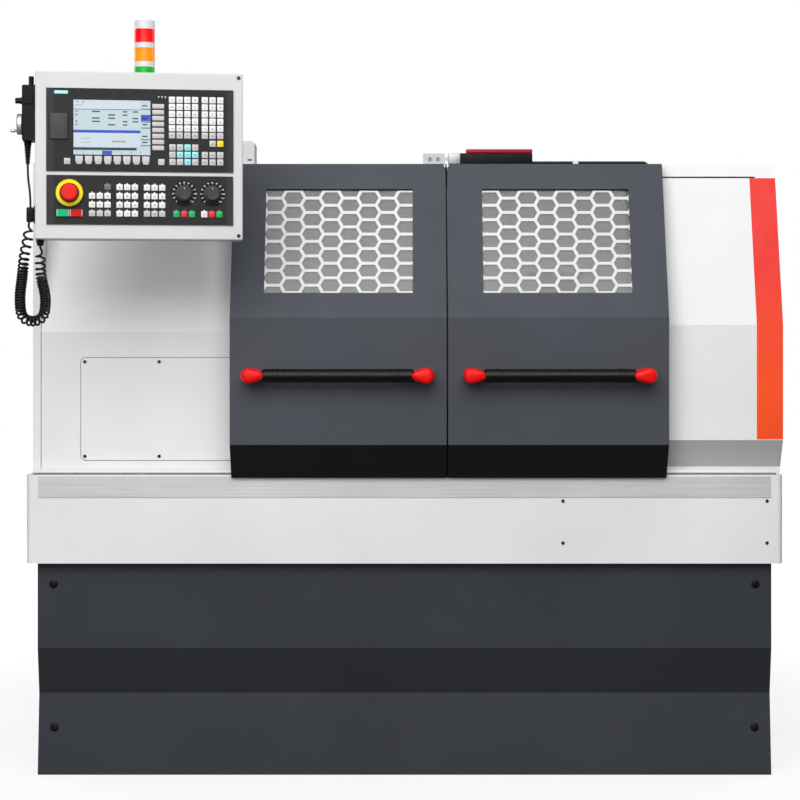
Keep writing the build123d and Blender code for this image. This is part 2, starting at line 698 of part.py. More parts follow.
def bed():
    x_range = (BED_LEFT, BED_LEFT + BED_LENGTH)
    casting = block(x_range, around(0, BED_WIDTH), (TRAY_FLOOR, WAY_Z))
    foot_z = (TRAY_FLOOR, TRAY_FLOOR + BED_FOOT_THICKNESS)
    casting += block(x_range, around(0, BED_WIDTH + 2 * BED_FOOT), foot_z)
    trough_foot = TRAY_FLOOR + BED_TROUGH_FLOOR
    trough_x = (CHAMBER_LEFT, x_range[1] + CUT_OVERRUN)
    casting -= block(trough_x, around(0, BED_WIDTH - 2 * BED_RAIL), (trough_foot, WAY_Z + CUT_OVERRUN))
    hollow_x = (x_range[0] + BED_WEB, x_range[1] + CUT_OVERRUN)
    casting -= block(hollow_x, around(0, BED_WIDTH - 2 * BED_WEB), (trough_foot, WAY_Z - BED_RAIL_DEPTH))
    casting += profile(way_outline(0), (CHAMBER_LEFT, BED_LEFT + BED_LENGTH))
    for left in (SCREW_LEFT, SCREW_RIGHT - BRACKET_THICKNESS - SCREW_END):
        casting += screw_bracket(left)
    return casting


def screw_bracket(left):
    """An arm of the bed that holds a screw bearing."""
    x_range = (left, left + BRACKET_THICKNESS)
    arm = block(x_range, (SCREW_Y - BRACKET_REACH, -BED_WIDTH / 2), around(SCREW_Z, 2 * BRACKET_REACH))
    seat = left + BRACKET_GAP
    arm -= rod(SCREW_R + BRACKET_GAP, (left - CUT_OVERRUN, SCREW_Y, SCREW_Z), (seat, SCREW_Y, SCREW_Z))
    arm -= rod(SCREW_BEARING_R, (seat, SCREW_Y, SCREW_Z), (seat + SCREW_BEARING_WIDTH, SCREW_Y, SCREW_Z))
    far = x_range[1] + CUT_OVERRUN
    return arm - rod(SCREW_R + BRACKET_GAP, (seat, SCREW_Y, SCREW_Z), (far, SCREW_Y, SCREW_Z))


# Headstock, spindle and drive
def headstock():
    casting = block((HEAD_LEFT, HEAD_RIGHT), around(0, HEAD_WIDTH), (WAY_Z, WAY_Z + HEAD_HEIGHT))
    top_edges = casting.edges().filter_by(Axis.X).group_by(Axis.Z)[-1]
    casting = fillet(top_edges, HEAD_ROUND)
    casting -= rod(HEAD_BORE_R, (HEAD_LEFT, 0, SPINDLE_Z), (HEAD_RIGHT, 0, SPINDLE_Z))
    for left in (HEAD_LEFT, HEAD_RIGHT - SPINDLE_BEARING_WIDTH):
        casting -= rod(SPINDLE_BEARING_R, (left, 0, SPINDLE_Z), (left + SPINDLE_BEARING_WIDTH, 0, SPINDLE_Z))
    return casting


def bearings():
    rings = []
    for left in (HEAD_LEFT, HEAD_RIGHT - SPINDLE_BEARING_WIDTH):
        start = (left, 0, SPINDLE_Z)
        end = (left + SPINDLE_BEARING_WIDTH, 0, SPINDLE_Z)
        rings.append(ring(SPINDLE_BEARING_R, SPINDLE_R + SHAFT_GAP, start, end))
    for bracket in (SCREW_LEFT, SCREW_RIGHT - BRACKET_THICKNESS - SCREW_END):
        left = bracket + BRACKET_GAP
        start = (left, SCREW_Y, SCREW_Z)
        end = (left + SCREW_BEARING_WIDTH, SCREW_Y, SCREW_Z)
        rings.append(ring(SCREW_BEARING_R, SCREW_R + SHAFT_GAP, start, end))
    return group(rings)


def spindle():
    shaft = rod(SPINDLE_R, (SPINDLE_LEFT, 0, SPINDLE_Z), (NOSE_RIGHT, 0, SPINDLE_Z))
    shaft += rod(NOSE_R, (NOSE_LEFT, 0, SPINDLE_Z), (NOSE_RIGHT, 0, SPINDLE_Z))
    shaft += rod(SPINDLE_PULLEY_R, (PULLEY_LEFT, 0, SPINDLE_Z), (PULLEY_LEFT + PULLEY_WIDTH, 0, SPINDLE_Z))
    return shaft - rod(
        SPINDLE_BORE_R, (SPINDLE_LEFT - CUT_OVERRUN, 0, SPINDLE_Z), (NOSE_RIGHT + CUT_OVERRUN, 0, SPINDLE_Z)
    )


def chuck():
    body = ring(CHUCK_R, CHUCK_BORE_R, (NOSE_RIGHT, 0, SPINDLE_Z), (CHUCK_FACE, 0, SPINDLE_Z))
    for index in range(JAW_COUNT):
        slot = block(
            (CHUCK_FACE - JAW_SLOT_DEPTH, CHUCK_FACE + CUT_OVERRUN),
            around(0, JAW_WIDTH),
            (0, CHUCK_R + CUT_OVERRUN),
        )
        body -= at_jaw(slot, index)
    return body


def at_jaw(shape, index):
    """A shape drawn above the spindle axis, turned to one of the jaws."""
    return Pos(0, 0, SPINDLE_Z) * Rot(index * 360 / JAW_COUNT, 0, 0) * shape


def chuck_jaw(index):
    width = around(0, JAW_WIDTH - 2 * SLIDE_GAP)
    root = CHUCK_FACE - JAW_SLOT_DEPTH + SLIDE_GAP
    outer = JAW_INNER_R + JAW_LENGTH
    jaw = block((root, CHUCK_FACE + JAW_SHORT), width, (JAW_INNER_R, outer))
    jaw += block((root, CHUCK_FACE + JAW_TALL), width, (JAW_INNER_R, JAW_INNER_R + JAW_STEP))
    return at_jaw(jaw, index)


def drive_motors():
    motor_x = (HEAD_LEFT, HEAD_LEFT + MOTOR_LENGTH)
    motor = block(motor_x, around(MOTOR_BACK, MOTOR_SIZE), around(MOTOR_Z, MOTOR_SIZE))
    foot_y = (MOTOR_BACK - MOTOR_SIZE / 2, HEAD_WIDTH / 2 - HEAD_ROUND)
    foot_z = (WAY_Z + HEAD_HEIGHT, MOTOR_Z - MOTOR_SIZE / 2)
    motor += block((HEAD_LEFT, HEAD_LEFT + MOTOR_FOOT_LENGTH), foot_y, foot_z)
    shaft_end = (HEAD_LEFT + MOTOR_SHAFT_DEPTH, MOTOR_BACK, MOTOR_Z)
    motor -= rod(MOTOR_SHAFT_R + SHAFT_GAP, (HEAD_LEFT - CUT_OVERRUN, MOTOR_BACK, MOTOR_Z), shaft_end)
    servo_left = SCREW_RIGHT - SCREW_END
    servo_x = (servo_left, servo_left + SERVO_LENGTH)
    servo = block(servo_x, around(SCREW_Y, SERVO_SIZE), around(SCREW_Z, SERVO_SIZE))
    screw_end = (SCREW_RIGHT + SLIDE_GAP, SCREW_Y, SCREW_Z)
    servo -= rod(SCREW_R + SHAFT_GAP, (servo_left, SCREW_Y, SCREW_Z), screw_end)
    return group([motor, servo])


def motor_pulley():
    axis = (MOTOR_BACK, MOTOR_Z)
    wheel = rod(MOTOR_PULLEY_R, (PULLEY_LEFT, *axis), (PULLEY_LEFT + PULLEY_WIDTH, *axis))
    shaft_end = (HEAD_LEFT + MOTOR_SHAFT_DEPTH - SLIDE_GAP, *axis)
    return wheel + rod(MOTOR_SHAFT_R, (PULLEY_LEFT, *axis), shaft_end)


def belt_loop(grow, x_range):
    """The space that a belt's run encloses, grown outwards from both pulleys."""
    plane = Plane(origin=(x_range[0], 0, 0), x_dir=(0, 1, 0), z_dir=(1, 0, 0))
    low = Pos(0, SPINDLE_Z) * Circle(SPINDLE_PULLEY_R + grow)
    high = Pos(MOTOR_BACK, MOTOR_Z) * Circle(MOTOR_PULLEY_R + grow)
    return extrude(plane * make_hull(low.edges() + high.edges()), amount=x_range[1] - x_range[0])


def drive_belt():
    x_range = around(PULLEY_LEFT + PULLEY_WIDTH / 2, BELT_WIDTH)
    cut_range = (x_range[0] - CUT_OVERRUN, x_range[1] + CUT_OVERRUN)
    return belt_loop(SLIDE_GAP + BELT_THICKNESS, x_range) - belt_loop(SLIDE_GAP, cut_range)


# Carriage, cross slide, turret and tailstock
def carriage_screw():
    return rod(SCREW_R, (SCREW_LEFT, SCREW_Y, SCREW_Z), (SCREW_RIGHT, SCREW_Y, SCREW_Z))


def carriage():
    x_range = around(CARRIAGE_X, SADDLE_LENGTH)
    y_range = (SCREW_Y - APRON_HALF, SADDLE_BACK)
    saddle = block(x_range, y_range, (WAY_Z + SLIDE_GAP, SADDLE_TOP))
    saddle += block(around(CARRIAGE_X, GUIDE_WIDTH), y_range, (SADDLE_TOP, SADDLE_TOP + GUIDE_HEIGHT))
    apron_x = around(CARRIAGE_X, APRON_LENGTH)
    saddle += block(apron_x, around(SCREW_Y, 2 * APRON_HALF), (WAY_Z - APRON_DROP, SADDLE_TOP))
    bore = SCREW_R + SLIDE_GAP
    saddle -= rod(
        bore, (apron_x[0] - CUT_OVERRUN, SCREW_Y, SCREW_Z), (apron_x[1] + CUT_OVERRUN, SCREW_Y, SCREW_Z)
    )
    return saddle - way_groove(x_range)


def cross_slide():
    y_range = around(CROSS_Y, CROSS_LENGTH)
    slide = block(around(CARRIAGE_X, CROSS_WIDTH), y_range, (SADDLE_TOP + SLIDE_GAP, CROSS_TOP))
    groove_y = (y_range[0] - CUT_OVERRUN, y_range[1] + CUT_OVERRUN)
    groove_x = around(CARRIAGE_X, GUIDE_WIDTH + 2 * SLIDE_GAP)
    slide -= block(groove_x, groove_y, (SADDLE_TOP, SADDLE_TOP + GUIDE_HEIGHT + SLIDE_GAP))
    base_top = CROSS_TOP + TURRET_BASE_HEIGHT
    slide += rod(TURRET_BASE_R, (CARRIAGE_X, TURRET_Y, CROSS_TOP), (CARRIAGE_X, TURRET_Y, base_top))
    post_top = base_top + TURRET_POST_HEIGHT
    return slide + rod(TURRET_POST_R, (CARRIAGE_X, TURRET_Y, base_top), (CARRIAGE_X, TURRET_Y, post_top))


def tool_turret():
    top = TURRET_Z + TURRET_HEIGHT
    head = block(around(CARRIAGE_X, TURRET_SIZE), around(TURRET_Y, TURRET_SIZE), (TURRET_Z, top))
    core = TURRET_SIZE - 2 * TOOL_SLOT_DEPTH
    slot_z = around(TURRET_Z + TURRET_HEIGHT / 2, TOOL_SLOT_HEIGHT)
    wide = TURRET_SIZE + 2 * CUT_OVERRUN
    slots = block(around(CARRIAGE_X, wide), around(TURRET_Y, wide), slot_z)
    slots -= block(around(CARRIAGE_X, core), around(TURRET_Y, core), slot_z)
    head -= slots
    cap = Pos(CARRIAGE_X, TURRET_Y, top) * Cylinder(TURRET_CAP_R, TURRET_CAP_HEIGHT, align=LOW)
    cap = fillet(cap.edges().group_by(Axis.Z)[-1], TURRET_CAP_ROUND)
    head += cap
    post_top = CROSS_TOP + TURRET_BASE_HEIGHT + TURRET_POST_HEIGHT + SLIDE_GAP
    start = (CARRIAGE_X, TURRET_Y, TURRET_Z - CUT_OVERRUN)
    return head - rod(TURRET_POST_R + SHAFT_GAP, start, (CARRIAGE_X, TURRET_Y, post_top))


def tailstock():
    x_range = (TAIL_LEFT, TAIL_LEFT + TAIL_LENGTH)
    base_top = WAY_Z + TAIL_BASE_HEIGHT
    casting = block(x_range, around(0, TAIL_WIDTH), (WAY_Z + SLIDE_GAP, base_top))
    casting += block(x_range, around(0, TAIL_COLUMN), (base_top, SPINDLE_Z))
    barrel_x = (TAIL_LEFT - BARREL_OVERHANG, TAIL_LEFT + TAIL_LENGTH + BARREL_OVERHANG)
    casting += rod(BARREL_R, (barrel_x[0], 0, SPINDLE_Z), (barrel_x[1], 0, SPINDLE_Z))
    bore_start = (barrel_x[0] - CUT_OVERRUN, 0, SPINDLE_Z)
    casting -= rod(QUILL_R + SHAFT_GAP, bore_start, (barrel_x[1] - BARREL_END_WALL, 0, SPINDLE_Z))
    return casting - way_groove(x_range)


def quill():
    left = TAIL_LEFT - BARREL_OVERHANG - QUILL_OUT
    sleeve = rod(QUILL_R, (left, 0, SPINDLE_Z), (left + QUILL_LENGTH, 0, SPINDLE_Z))
    sleeve += rod(CENTRE_R, (left - CENTRE_SHANK, 0, SPINDLE_Z), (left, 0, SPINDLE_Z))
    tip = Plane(origin=(left - CENTRE_SHANK, 0, SPINDLE_Z), z_dir=(-1, 0, 0))
    return sleeve + tip * Cone(CENTRE_R, 0, CENTRE_TAPER, align=LOW)


# Covers
def head_cover_front():
    """The headstock cover's front line, from its foot to its roof edge."""
    fold = TRAY_TOP + HEAD_COVER_FOLD
    edge = HEAD_COVER_FRONT + HEAD_COVER_RUN
    return [(HEAD_COVER_FRONT, TRAY_TOP), (HEAD_COVER_FRONT, fold), (edge, ROOF)]


def tail_cover_front():
    """The tailstock cover's front line, from its foot to its roof edge."""
    strip_top = TRAY_TOP + TAIL_STRIP_HEIGHT
    chamfer_top = strip_top + TAIL_CHAMFER_HEIGHT
    fold = chamfer_top + TAIL_FACE_HEIGHT
    back = TRAY_FRONT + (ROOF - fold) * math.tan(math.radians(TAIL_COVER_LEAN))
    foot = TRAY_FRONT + TAIL_STRIP_SETBACK
    return [(foot, TRAY_TOP), (foot, strip_top), (TRAY_FRONT, chamfer_top), (TRAY_FRONT, fold), (back, ROOF)]


def cover_rear():
    return [(COVER_REAR, ROOF), (COVER_REAR, TRAY_TOP)]


def cover_inside(front, distance, x_range):
    """The space inside a cover's sheet, open below."""
    line = inset((front + cover_rear())[::-1], distance)
    foot = [(line[-1][0], TRAY_TOP - CUT_OVERRUN), (line[0][0], TRAY_TOP - CUT_OVERRUN)]
    return profile(line + foot, x_range)


def headstock_cover():
    x_range = (HEAD_COVER_LEFT, CHAMBER_LEFT)
    front = head_cover_front()
    cover = profile(front + cover_rear(), x_range)
    cover -= cover_inside(front, SHEET, (HEAD_COVER_LEFT - CUT_OVERRUN, CHAMBER_LEFT - SHEET))
    wall_x = (CHAMBER_LEFT - SHEET - CUT_OVERRUN, CHAMBER_LEFT + CUT_OVERRUN)
    bed_y = (SCREW_Y - BRACKET_REACH - BED_OPENING_GAP, BED_WIDTH / 2 + BED_OPENING_GAP)
    cover -= block(wall_x, bed_y, (TRAY_TOP - CUT_OVERRUN, WAY_Z + BED_OPENING_GAP))
    return cover - rod(NOSE_OPENING_R, (wall_x[0], 0, SPINDLE_Z), (wall_x[1], 0, SPINDLE_Z))


def end_cover():
    front = head_cover_front()
    pan = block((END_COVER_LEFT, HEAD_COVER_LEFT), (front[0][0], COVER_REAR), (TRAY_TOP, ROOF))
    pan -= cover_inside(front, SHEET, (END_COVER_LEFT + SHEET, HEAD_COVER_LEFT + CUT_OVERRUN))
    start = (END_COVER_LEFT - CUT_OVERRUN, 0, SPINDLE_Z)
    return pan - rod(BAR_HOLE_R, start, (END_COVER_LEFT + SHEET + CUT_OVERRUN, 0, SPINDLE_Z))


def access_panel():
    centre_x = HEAD_COVER_LEFT + ACCESS_INSET + ACCESS_LENGTH / 2
    centre_z = TRAY_TOP + ACCESS_RISE + ACCESS_HEIGHT / 2
    plane = Plane(origin=(centre_x, head_cover_front()[0][0], centre_z), x_dir=(1, 0, 0), z_dir=(0, -1, 0))
    outline = plane * RectangleRounded(ACCESS_LENGTH, ACCESS_HEIGHT, ACCESS_CORNER_R)
    return extrude(outline, amount=ACCESS_THICKNESS)


def tailstock_cover():
    front = tail_cover_front()
    cover = profile(front + cover_rear(), (CHAMBER_RIGHT, TRAY_RIGHT))
    cover -= cover_inside(front, SHEET, (CHAMBER_RIGHT + SHEET, TRAY_RIGHT - SHEET))
    cover -= cover_inside(front, COVER_FLANGE, (CHAMBER_RIGHT - CUT_OVERRUN, CHAMBER_RIGHT + SHEET))
    slot_x = (CHAMBER_RIGHT - CUT_OVERRUN, CHAMBER_RIGHT + LID_SLOT_LENGTH)
    slot_z = (ROOF - LID_DROP, ROOF - LID_DROP + LID_SLOT)
    slot_back = front[-1][0] + CUT_OVERRUN
    return cover - block(slot_x, (TRAY_FRONT, slot_back), slot_z)


def rear_guard():
    guard = block((CHAMBER_LEFT, CHAMBER_RIGHT), (COVER_REAR - SHEET, COVER_REAR), (TRAY_TOP, ROOF))
    return_y = (COVER_REAR - REAR_RETURN, COVER_REAR)
    for x_range in ((CHAMBER_LEFT, CHAMBER_LEFT + SHEET), (CHAMBER_RIGHT - SHEET, CHAMBER_RIGHT)):
        guard += block(x_range, return_y, (TRAY_TOP, ROOF))
    return guard + block((CHAMBER_LEFT, CHAMBER_RIGHT), return_y, (ROOF - SHEET, ROOF))


def door_rails():
    rail_front = DOOR_TOP_BACK + SLIDE_GAP
    rail_top = ROOF - RAIL_DROP
    rail_y = (rail_front, rail_front + RAIL_DEPTH)
    rail = block((CHAMBER_LEFT, CHAMBER_RIGHT), rail_y, (rail_top - RAIL_HEIGHT, rail_top))
    track = block(around(0, TRACK_LENGTH), (TRACK_FRONT, TRACK_BACK), (TRAY_TOP, TRACK_TOP))
    return group([rail, track])


# Doors, windows, guards and handles
def door_line():
    """A door's outer line, from its lower edge to the front of its top."""
    return [
        (DOOR_FRONT + DOOR_CHAMFER_RUN, DOOR_BOTTOM),
        (DOOR_FRONT, DOOR_FACE_BOTTOM),
        (DOOR_FRONT, DOOR_FOLD),
        (DOOR_TOP_FRONT, DOOR_TOP),
    ]


def inward(points, thickness):
    """The outline of a sheet that thickens towards the inside of the door."""
    return folded(points[::-1], thickness)


def window_plane(x_range):
    """The outer face of a door's slope, centred on its window, facing out."""
    lean = math.radians(DOOR_LEAN)
    along = WINDOW_RISE + WINDOW_HEIGHT / 2
    origin = (sum(x_range) / 2, DOOR_FRONT + along * math.sin(lean), DOOR_FOLD + along * math.cos(lean))
    return Plane(origin=origin, x_dir=(1, 0, 0), z_dir=(0, -math.cos(lean), math.sin(lean)))


def behind(plane, depth):
    """A plane moved inwards from the door's outer face."""
    return plane.offset(-depth)


def door_shoe(x_range):
    """A nylon shoe that hangs from the door's chamfer and runs over the bottom track."""
    y_range = (TRACK_FRONT - SLIDE_GAP - SHOE_CHEEK, TRACK_BACK + SLIDE_GAP + SHOE_CHEEK)
    top = TRACK_TOP + SLIDE_GAP + SHOE_HEIGHT
    shoe = block(x_range, (DOOR_FRONT, y_range[1]), (TRACK_TOP + SLIDE_GAP, top))
    shoe += block(x_range, y_range, (TRACK_TOP - SHOE_SKIRT, top))
    slot_x = (x_range[0] - CUT_OVERRUN, x_range[1] + CUT_OVERRUN)
    slot_y = (TRACK_FRONT - SLIDE_GAP, TRACK_BACK + SLIDE_GAP)
    return shoe - block(slot_x, slot_y, (TRAY_TOP, TRACK_TOP + SLIDE_GAP))


def seam_notch(x_range, seam):
    """The small corner cut at the top of a door, on the seam's side."""
    edge = x_range[1] if seam > 0 else x_range[0]
    depth = (DOOR_TOP_FRONT - DOOR_STANDOFF, DOOR_TOP_BACK + CUT_OVERRUN)
    corner = [
        (edge, depth[0], DOOR_TOP),
        (edge - seam * SEAM_NOTCH_WIDTH, depth[0], DOOR_TOP),
        (edge, depth[0], DOOR_TOP - SEAM_NOTCH_HEIGHT),
    ]
    return extrude(make_face(Polyline(corner, close=True)), amount=depth[1] - depth[0], dir=(0, 1, 0))


def door(x_range, seam):
    line = door_line()
    top = [(DOOR_TOP_BACK, DOOR_TOP), (DOOR_TOP_BACK, DOOR_TOP - DOOR_LIP)]
    sheet = profile(inward(line + top, SHEET), x_range)
    for side in ((x_range[0], x_range[0] + SHEET), (x_range[1] - SHEET, x_range[1])):
        sheet += profile(inward(line, DOOR_FLANGE), side)
    behind_track = TRACK_BACK + DOOR_FLANGE
    body = profile(line + [(behind_track, DOOR_TOP), (behind_track, DOOR_BOTTOM)], x_range)
    for left in (x_range[0] + SHOE_INSET, x_range[1] - SHOE_INSET - SHOE_LENGTH):
        sheet += door_shoe((left, left + SHOE_LENGTH)) & body
    window = window_plane(x_range) * Rectangle(WINDOW_WIDTH, WINDOW_HEIGHT)
    opening = extrude(window, amount=CUT_OVERRUN, both=True)
    return sheet - opening - seam_notch(x_range, seam)


def pane(x_range):
    width = WINDOW_WIDTH + 2 * PANE_LAP
    height = WINDOW_HEIGHT + 2 * PANE_LAP
    plane = behind(window_plane(x_range), SHEET + GUARD_THICKNESS)
    return extrude(plane * Rectangle(width, height), amount=-PANE_THICKNESS)


def hexagon():
    """One opening of the guard, narrowed by half a rib all round."""
    half_row = GUARD_ROW / 2
    half_flat = GUARD_FLAT / 2
    lean = GUARD_SLANT / half_row
    side = half_flat + GUARD_SLANT - GUARD_RIB / 2 * math.hypot(1, lean)
    high = half_row - GUARD_RIB / 2
    top = side - lean * high
    return Polygon((side, 0), (top, high), (-top, high), (-side, 0), (-top, -high), (top, -high), align=None)


def hex_guard(x_range, shift):
    """A plate of hexagonal openings. The shift places a column whose first rib lies near the window's top."""
    pitch = GUARD_FLAT + GUARD_SLANT
    show = Rectangle(WINDOW_WIDTH + 2 * GUARD_SHOW, WINDOW_HEIGHT + 2 * GUARD_SHOW)
    columns = math.ceil(WINDOW_WIDTH / pitch) + 1
    rows = math.ceil(WINDOW_HEIGHT / GUARD_ROW) + 1
    holes = []
    for column in range(-columns, columns + 1):
        u = shift + column * pitch
        drop = GUARD_TOP_RIB - GUARD_ROW / 2 * (1 + column % 2)
        for row in range(rows + 1):
            v = WINDOW_HEIGHT / 2 - drop - row * GUARD_ROW
            if abs(u) < WINDOW_WIDTH / 2 + GUARD_SHOW + GUARD_FLAT / 2:
                holes.append(Pos(u, v) * hexagon())
    plate = Rectangle(WINDOW_WIDTH + 2 * PANE_LAP, WINDOW_HEIGHT + 2 * PANE_LAP)
    lattice = plate - (show & Sketch() + holes)
    return extrude(behind(window_plane(x_range), SHEET) * lattice, amount=-GUARD_THICKNESS)


def handle_end(outer_x, inner):
    """A red end piece: a drop shape with its blunt end outwards, rounded in front."""
    plane = Plane(origin=(outer_x, DOOR_FRONT, HANDLE_Z), x_dir=(1, 0, 0), z_dir=(0, -1, 0))
    blunt = Pos(inner * HANDLE_END_R, 0) * Circle(HANDLE_END_R)
    tip = Pos(inner * (HANDLE_END_LENGTH - HANDLE_TIP_R), 0) * Circle(HANDLE_TIP_R)
    end = extrude(plane * make_hull(blunt.edges() + tip.edges()), amount=HANDLE_END_DEPTH)
    return fillet(end.edges().group_by(Axis.Y)[0], HANDLE_END_ROUND)


def handle(x_range):
    middle = sum(x_range) / 2
    left, right = around(middle, HANDLE_LENGTH)
    bar_y = DOOR_FRONT - HANDLE_STANDOFF
    inset_x = HANDLE_END_LENGTH - HANDLE_SOCKET
    bar = rod(HANDLE_BAR_R, (left + inset_x, bar_y, HANDLE_Z), (right - inset_x, bar_y, HANDLE_Z))
    return group([bar, handle_end(left, 1) - bar, handle_end(right, -1) - bar])


# Door interlock
def interlock_key():
    y_range = (DOOR_TOP_FRONT + INTERLOCK_INSET, DOOR_TOP_BACK)
    middle = sum(y_range) / 2
    key_x = (KEY_LEFT, KEY_LEFT + KEY_LENGTH)
    key = block(key_x, y_range, (DOOR_TOP, DOOR_TOP + KEY_THICKNESS))
    key += block(key_x, around(middle, KEY_THICKNESS), (DOOR_TOP, DOOR_TOP + KEY_HEIGHT))
    tongue_z = around(DOOR_TOP + KEY_HEIGHT / 2, TONGUE_HEIGHT)
    key += block((key_x[1], key_x[1] + TONGUE_LENGTH), around(middle, KEY_THICKNESS), tongue_z)
    for x in around(KEY_LEFT + KEY_LENGTH / 2, KEY_HOLE_SPACING):
        hole_z = DOOR_TOP + KEY_HEIGHT / 2
        key -= rod(KEY_HOLE_R, (x, y_range[0], hole_z), (x, y_range[1], hole_z))
    return key


def interlock_switch():
    y_range = around((DOOR_TOP_FRONT + INTERLOCK_INSET + DOOR_TOP_BACK) / 2, SWITCH_DEPTH)
    top = DOOR_TOP + SWITCH_HEIGHT
    head_x = (SWITCH_LEFT, SWITCH_LEFT + SWITCH_HEAD_LENGTH)
    head = block(head_x, y_range, (DOOR_TOP, top))
    slot_x = (head_x[0] - CUT_OVERRUN, KEY_LEFT + KEY_LENGTH + TONGUE_LENGTH + TONGUE_GAP)
    slot_y = around(sum(y_range) / 2, KEY_THICKNESS + 2 * TONGUE_GAP)
    slot_z = around(DOOR_TOP + KEY_HEIGHT / 2, TONGUE_HEIGHT + 2 * TONGUE_GAP)
    head -= block(slot_x, slot_y, slot_z)
    body = block((head_x[1], head_x[1] + SWITCH_LENGTH), y_range, (DOOR_TOP, top))
    lid_x = (head_x[1] + SWITCH_LID_INSET, head_x[1] + SWITCH_LENGTH)
    lid = block(lid_x, y_range, (top, top + SWITCH_LID_HEIGHT))
    return group([head, body, lid])


def interlock_cable(radius=CABLE_R):
    """The cable along the right door's top, which dips through the top at its far end."""
    y = (DOOR_TOP_FRONT + INTERLOCK_INSET + DOOR_TOP_BACK) / 2
    z = DOOR_TOP + CABLE_R + 2 * SLIDE_GAP
    start = SWITCH_LEFT + SWITCH_HEAD_LENGTH + SWITCH_LENGTH
    end = RIGHT_DOOR[1] - CABLE_INSET
    foot = z - CABLE_BEND - CABLE_DROP
    path = FilletPolyline((start, y, z), (end, y, z), (end, y, foot), radius=CABLE_BEND)
    return sweep(Plane(origin=path @ 0, z_dir=path % 0) * Circle(radius), path=path)


# Electrical cabinet
def electrical_cabinet():
    x_range = (CABINET_LEFT, CABINET_RIGHT)
    case = block(x_range, (COVER_REAR, CABINET_BACK), (CABINET_BOTTOM, CABINET_TOP))
    hollow_x = (x_range[0] + SHEET, x_range[1] - SHEET)
    hollow_z = (CABINET_BOTTOM + SHEET, CABINET_TOP - SHEET)
    case -= block(hollow_x, (COVER_REAR + SHEET, CABINET_BACK - SHEET), hollow_z)
    mouth_x = (x_range[0] + CABINET_RIM, x_range[1] - CABINET_RIM)
    mouth_z = (CABINET_BOTTOM + CABINET_RIM, CABINET_TOP - CABINET_RIM)
    case -= block(mouth_x, (CABINET_BACK - SHEET, CABINET_BACK + CUT_OVERRUN), mouth_z)
    drive_z = (CABINET_TOP - DRIVE_DROP - DRIVE_HEIGHT, CABINET_TOP - DRIVE_DROP)
    pitch = CABINET_LENGTH / (DRIVE_COUNT + 1)
    for index in range(DRIVE_COUNT):
        drive_x = around(CABINET_LEFT + (index + 1) * pitch, DRIVE_WIDTH)
        case += block(drive_x, (COVER_REAR, COVER_REAR + DRIVE_DEPTH), drive_z)
    for z in hinge_heights():
        leaf_x = (CABINET_LEFT - HINGE_LEAF_THICKNESS, CABINET_LEFT)
        case += block(leaf_x, (CABINET_BACK - HINGE_LEAF, CABINET_BACK), (z, z + HINGE_HEIGHT))
        case += hinge_knuckle(z)
        case += rod(HINGE_PIN_R, (HINGE_X, HINGE_Y, z), (HINGE_X, HINGE_Y, z + 2 * HINGE_HEIGHT))
    return case


def hinge_heights():
    return (CABINET_BOTTOM + HINGE_INSET, CABINET_TOP - HINGE_INSET - 2 * HINGE_HEIGHT)


def hinge_knuckle(z):
    """A fixed knuckle with the web that ties it to the cabinet's side."""
    knuckle = rod(HINGE_R, (HINGE_X, HINGE_Y, z), (HINGE_X, HINGE_Y, z + HINGE_HEIGHT))
    web_x = (HINGE_X - HINGE_LEAF_THICKNESS / 2, HINGE_X + HINGE_LEAF_THICKNESS / 2)
    return knuckle + block(web_x, (CABINET_BACK - HINGE_LEAF, HINGE_Y), (z, z + HINGE_HEIGHT))


def cabinet_door():
    y_range = (CABINET_BACK + CABINET_DOOR_GAP, CABINET_BACK + CABINET_DOOR_DEPTH)
    pan = block((CABINET_LEFT, CABINET_RIGHT), y_range, (CABINET_BOTTOM, CABINET_TOP))
    hollow_x = (CABINET_LEFT + SHEET, CABINET_RIGHT - SHEET)
    hollow_z = (CABINET_BOTTOM + SHEET, CABINET_TOP - SHEET)
    pan -= block(hollow_x, (y_range[0] - CUT_OVERRUN, y_range[1] - SHEET), hollow_z)
    for z in hinge_heights():
        low = z + HINGE_HEIGHT + SLIDE_GAP
        high = low + HINGE_HEIGHT
        leaf = block((HINGE_X, CABINET_LEFT), around(HINGE_Y, HINGE_LEAF_THICKNESS), (low, high))
        knuckle = rod(HINGE_R, (HINGE_X, HINGE_Y, low), (HINGE_X, HINGE_Y, high)) + leaf
        pin_start = (HINGE_X, HINGE_Y, low - CUT_OVERRUN)
        pan += knuckle - rod(HINGE_PIN_R + SHAFT_GAP, pin_start, (HINGE_X, HINGE_Y, high + CUT_OVERRUN))
    return pan


# Signal tower
def tower_levels():
    """The foot of each lens, lowest first."""
    first = ROOF + TOWER_POLE_HEIGHT + TOWER_BASE_HEIGHT
    return [first + index * (LENS_HEIGHT + TOWER_RING_HEIGHT) for index in range(len(LENS_COLOURS))]


def tower_rod(radius, low, high):
    return rod(radius, (TOWER_X, TOWER_Y, low), (TOWER_X, TOWER_Y, high))


def signal_tower():
    levels = tower_levels()
    tower = tower_rod(TOWER_FLANGE_R, ROOF, ROOF + TOWER_FLANGE_HEIGHT)
    tower += tower_rod(TOWER_POLE_R, ROOF, ROOF + TOWER_POLE_HEIGHT)
    tower += tower_rod(TOWER_R, ROOF + TOWER_POLE_HEIGHT, levels[0])
    for level in levels[:-1]:
        tower += tower_rod(TOWER_R, level + LENS_HEIGHT, level + LENS_HEIGHT + TOWER_RING_HEIGHT)
    cap_foot = levels[-1] + LENS_HEIGHT
    tower += tower_rod(TOWER_R, cap_foot, cap_foot + TOWER_CAP_HEIGHT)
    return tower + tower_rod(TOWER_CORE_R, levels[0], cap_foot)


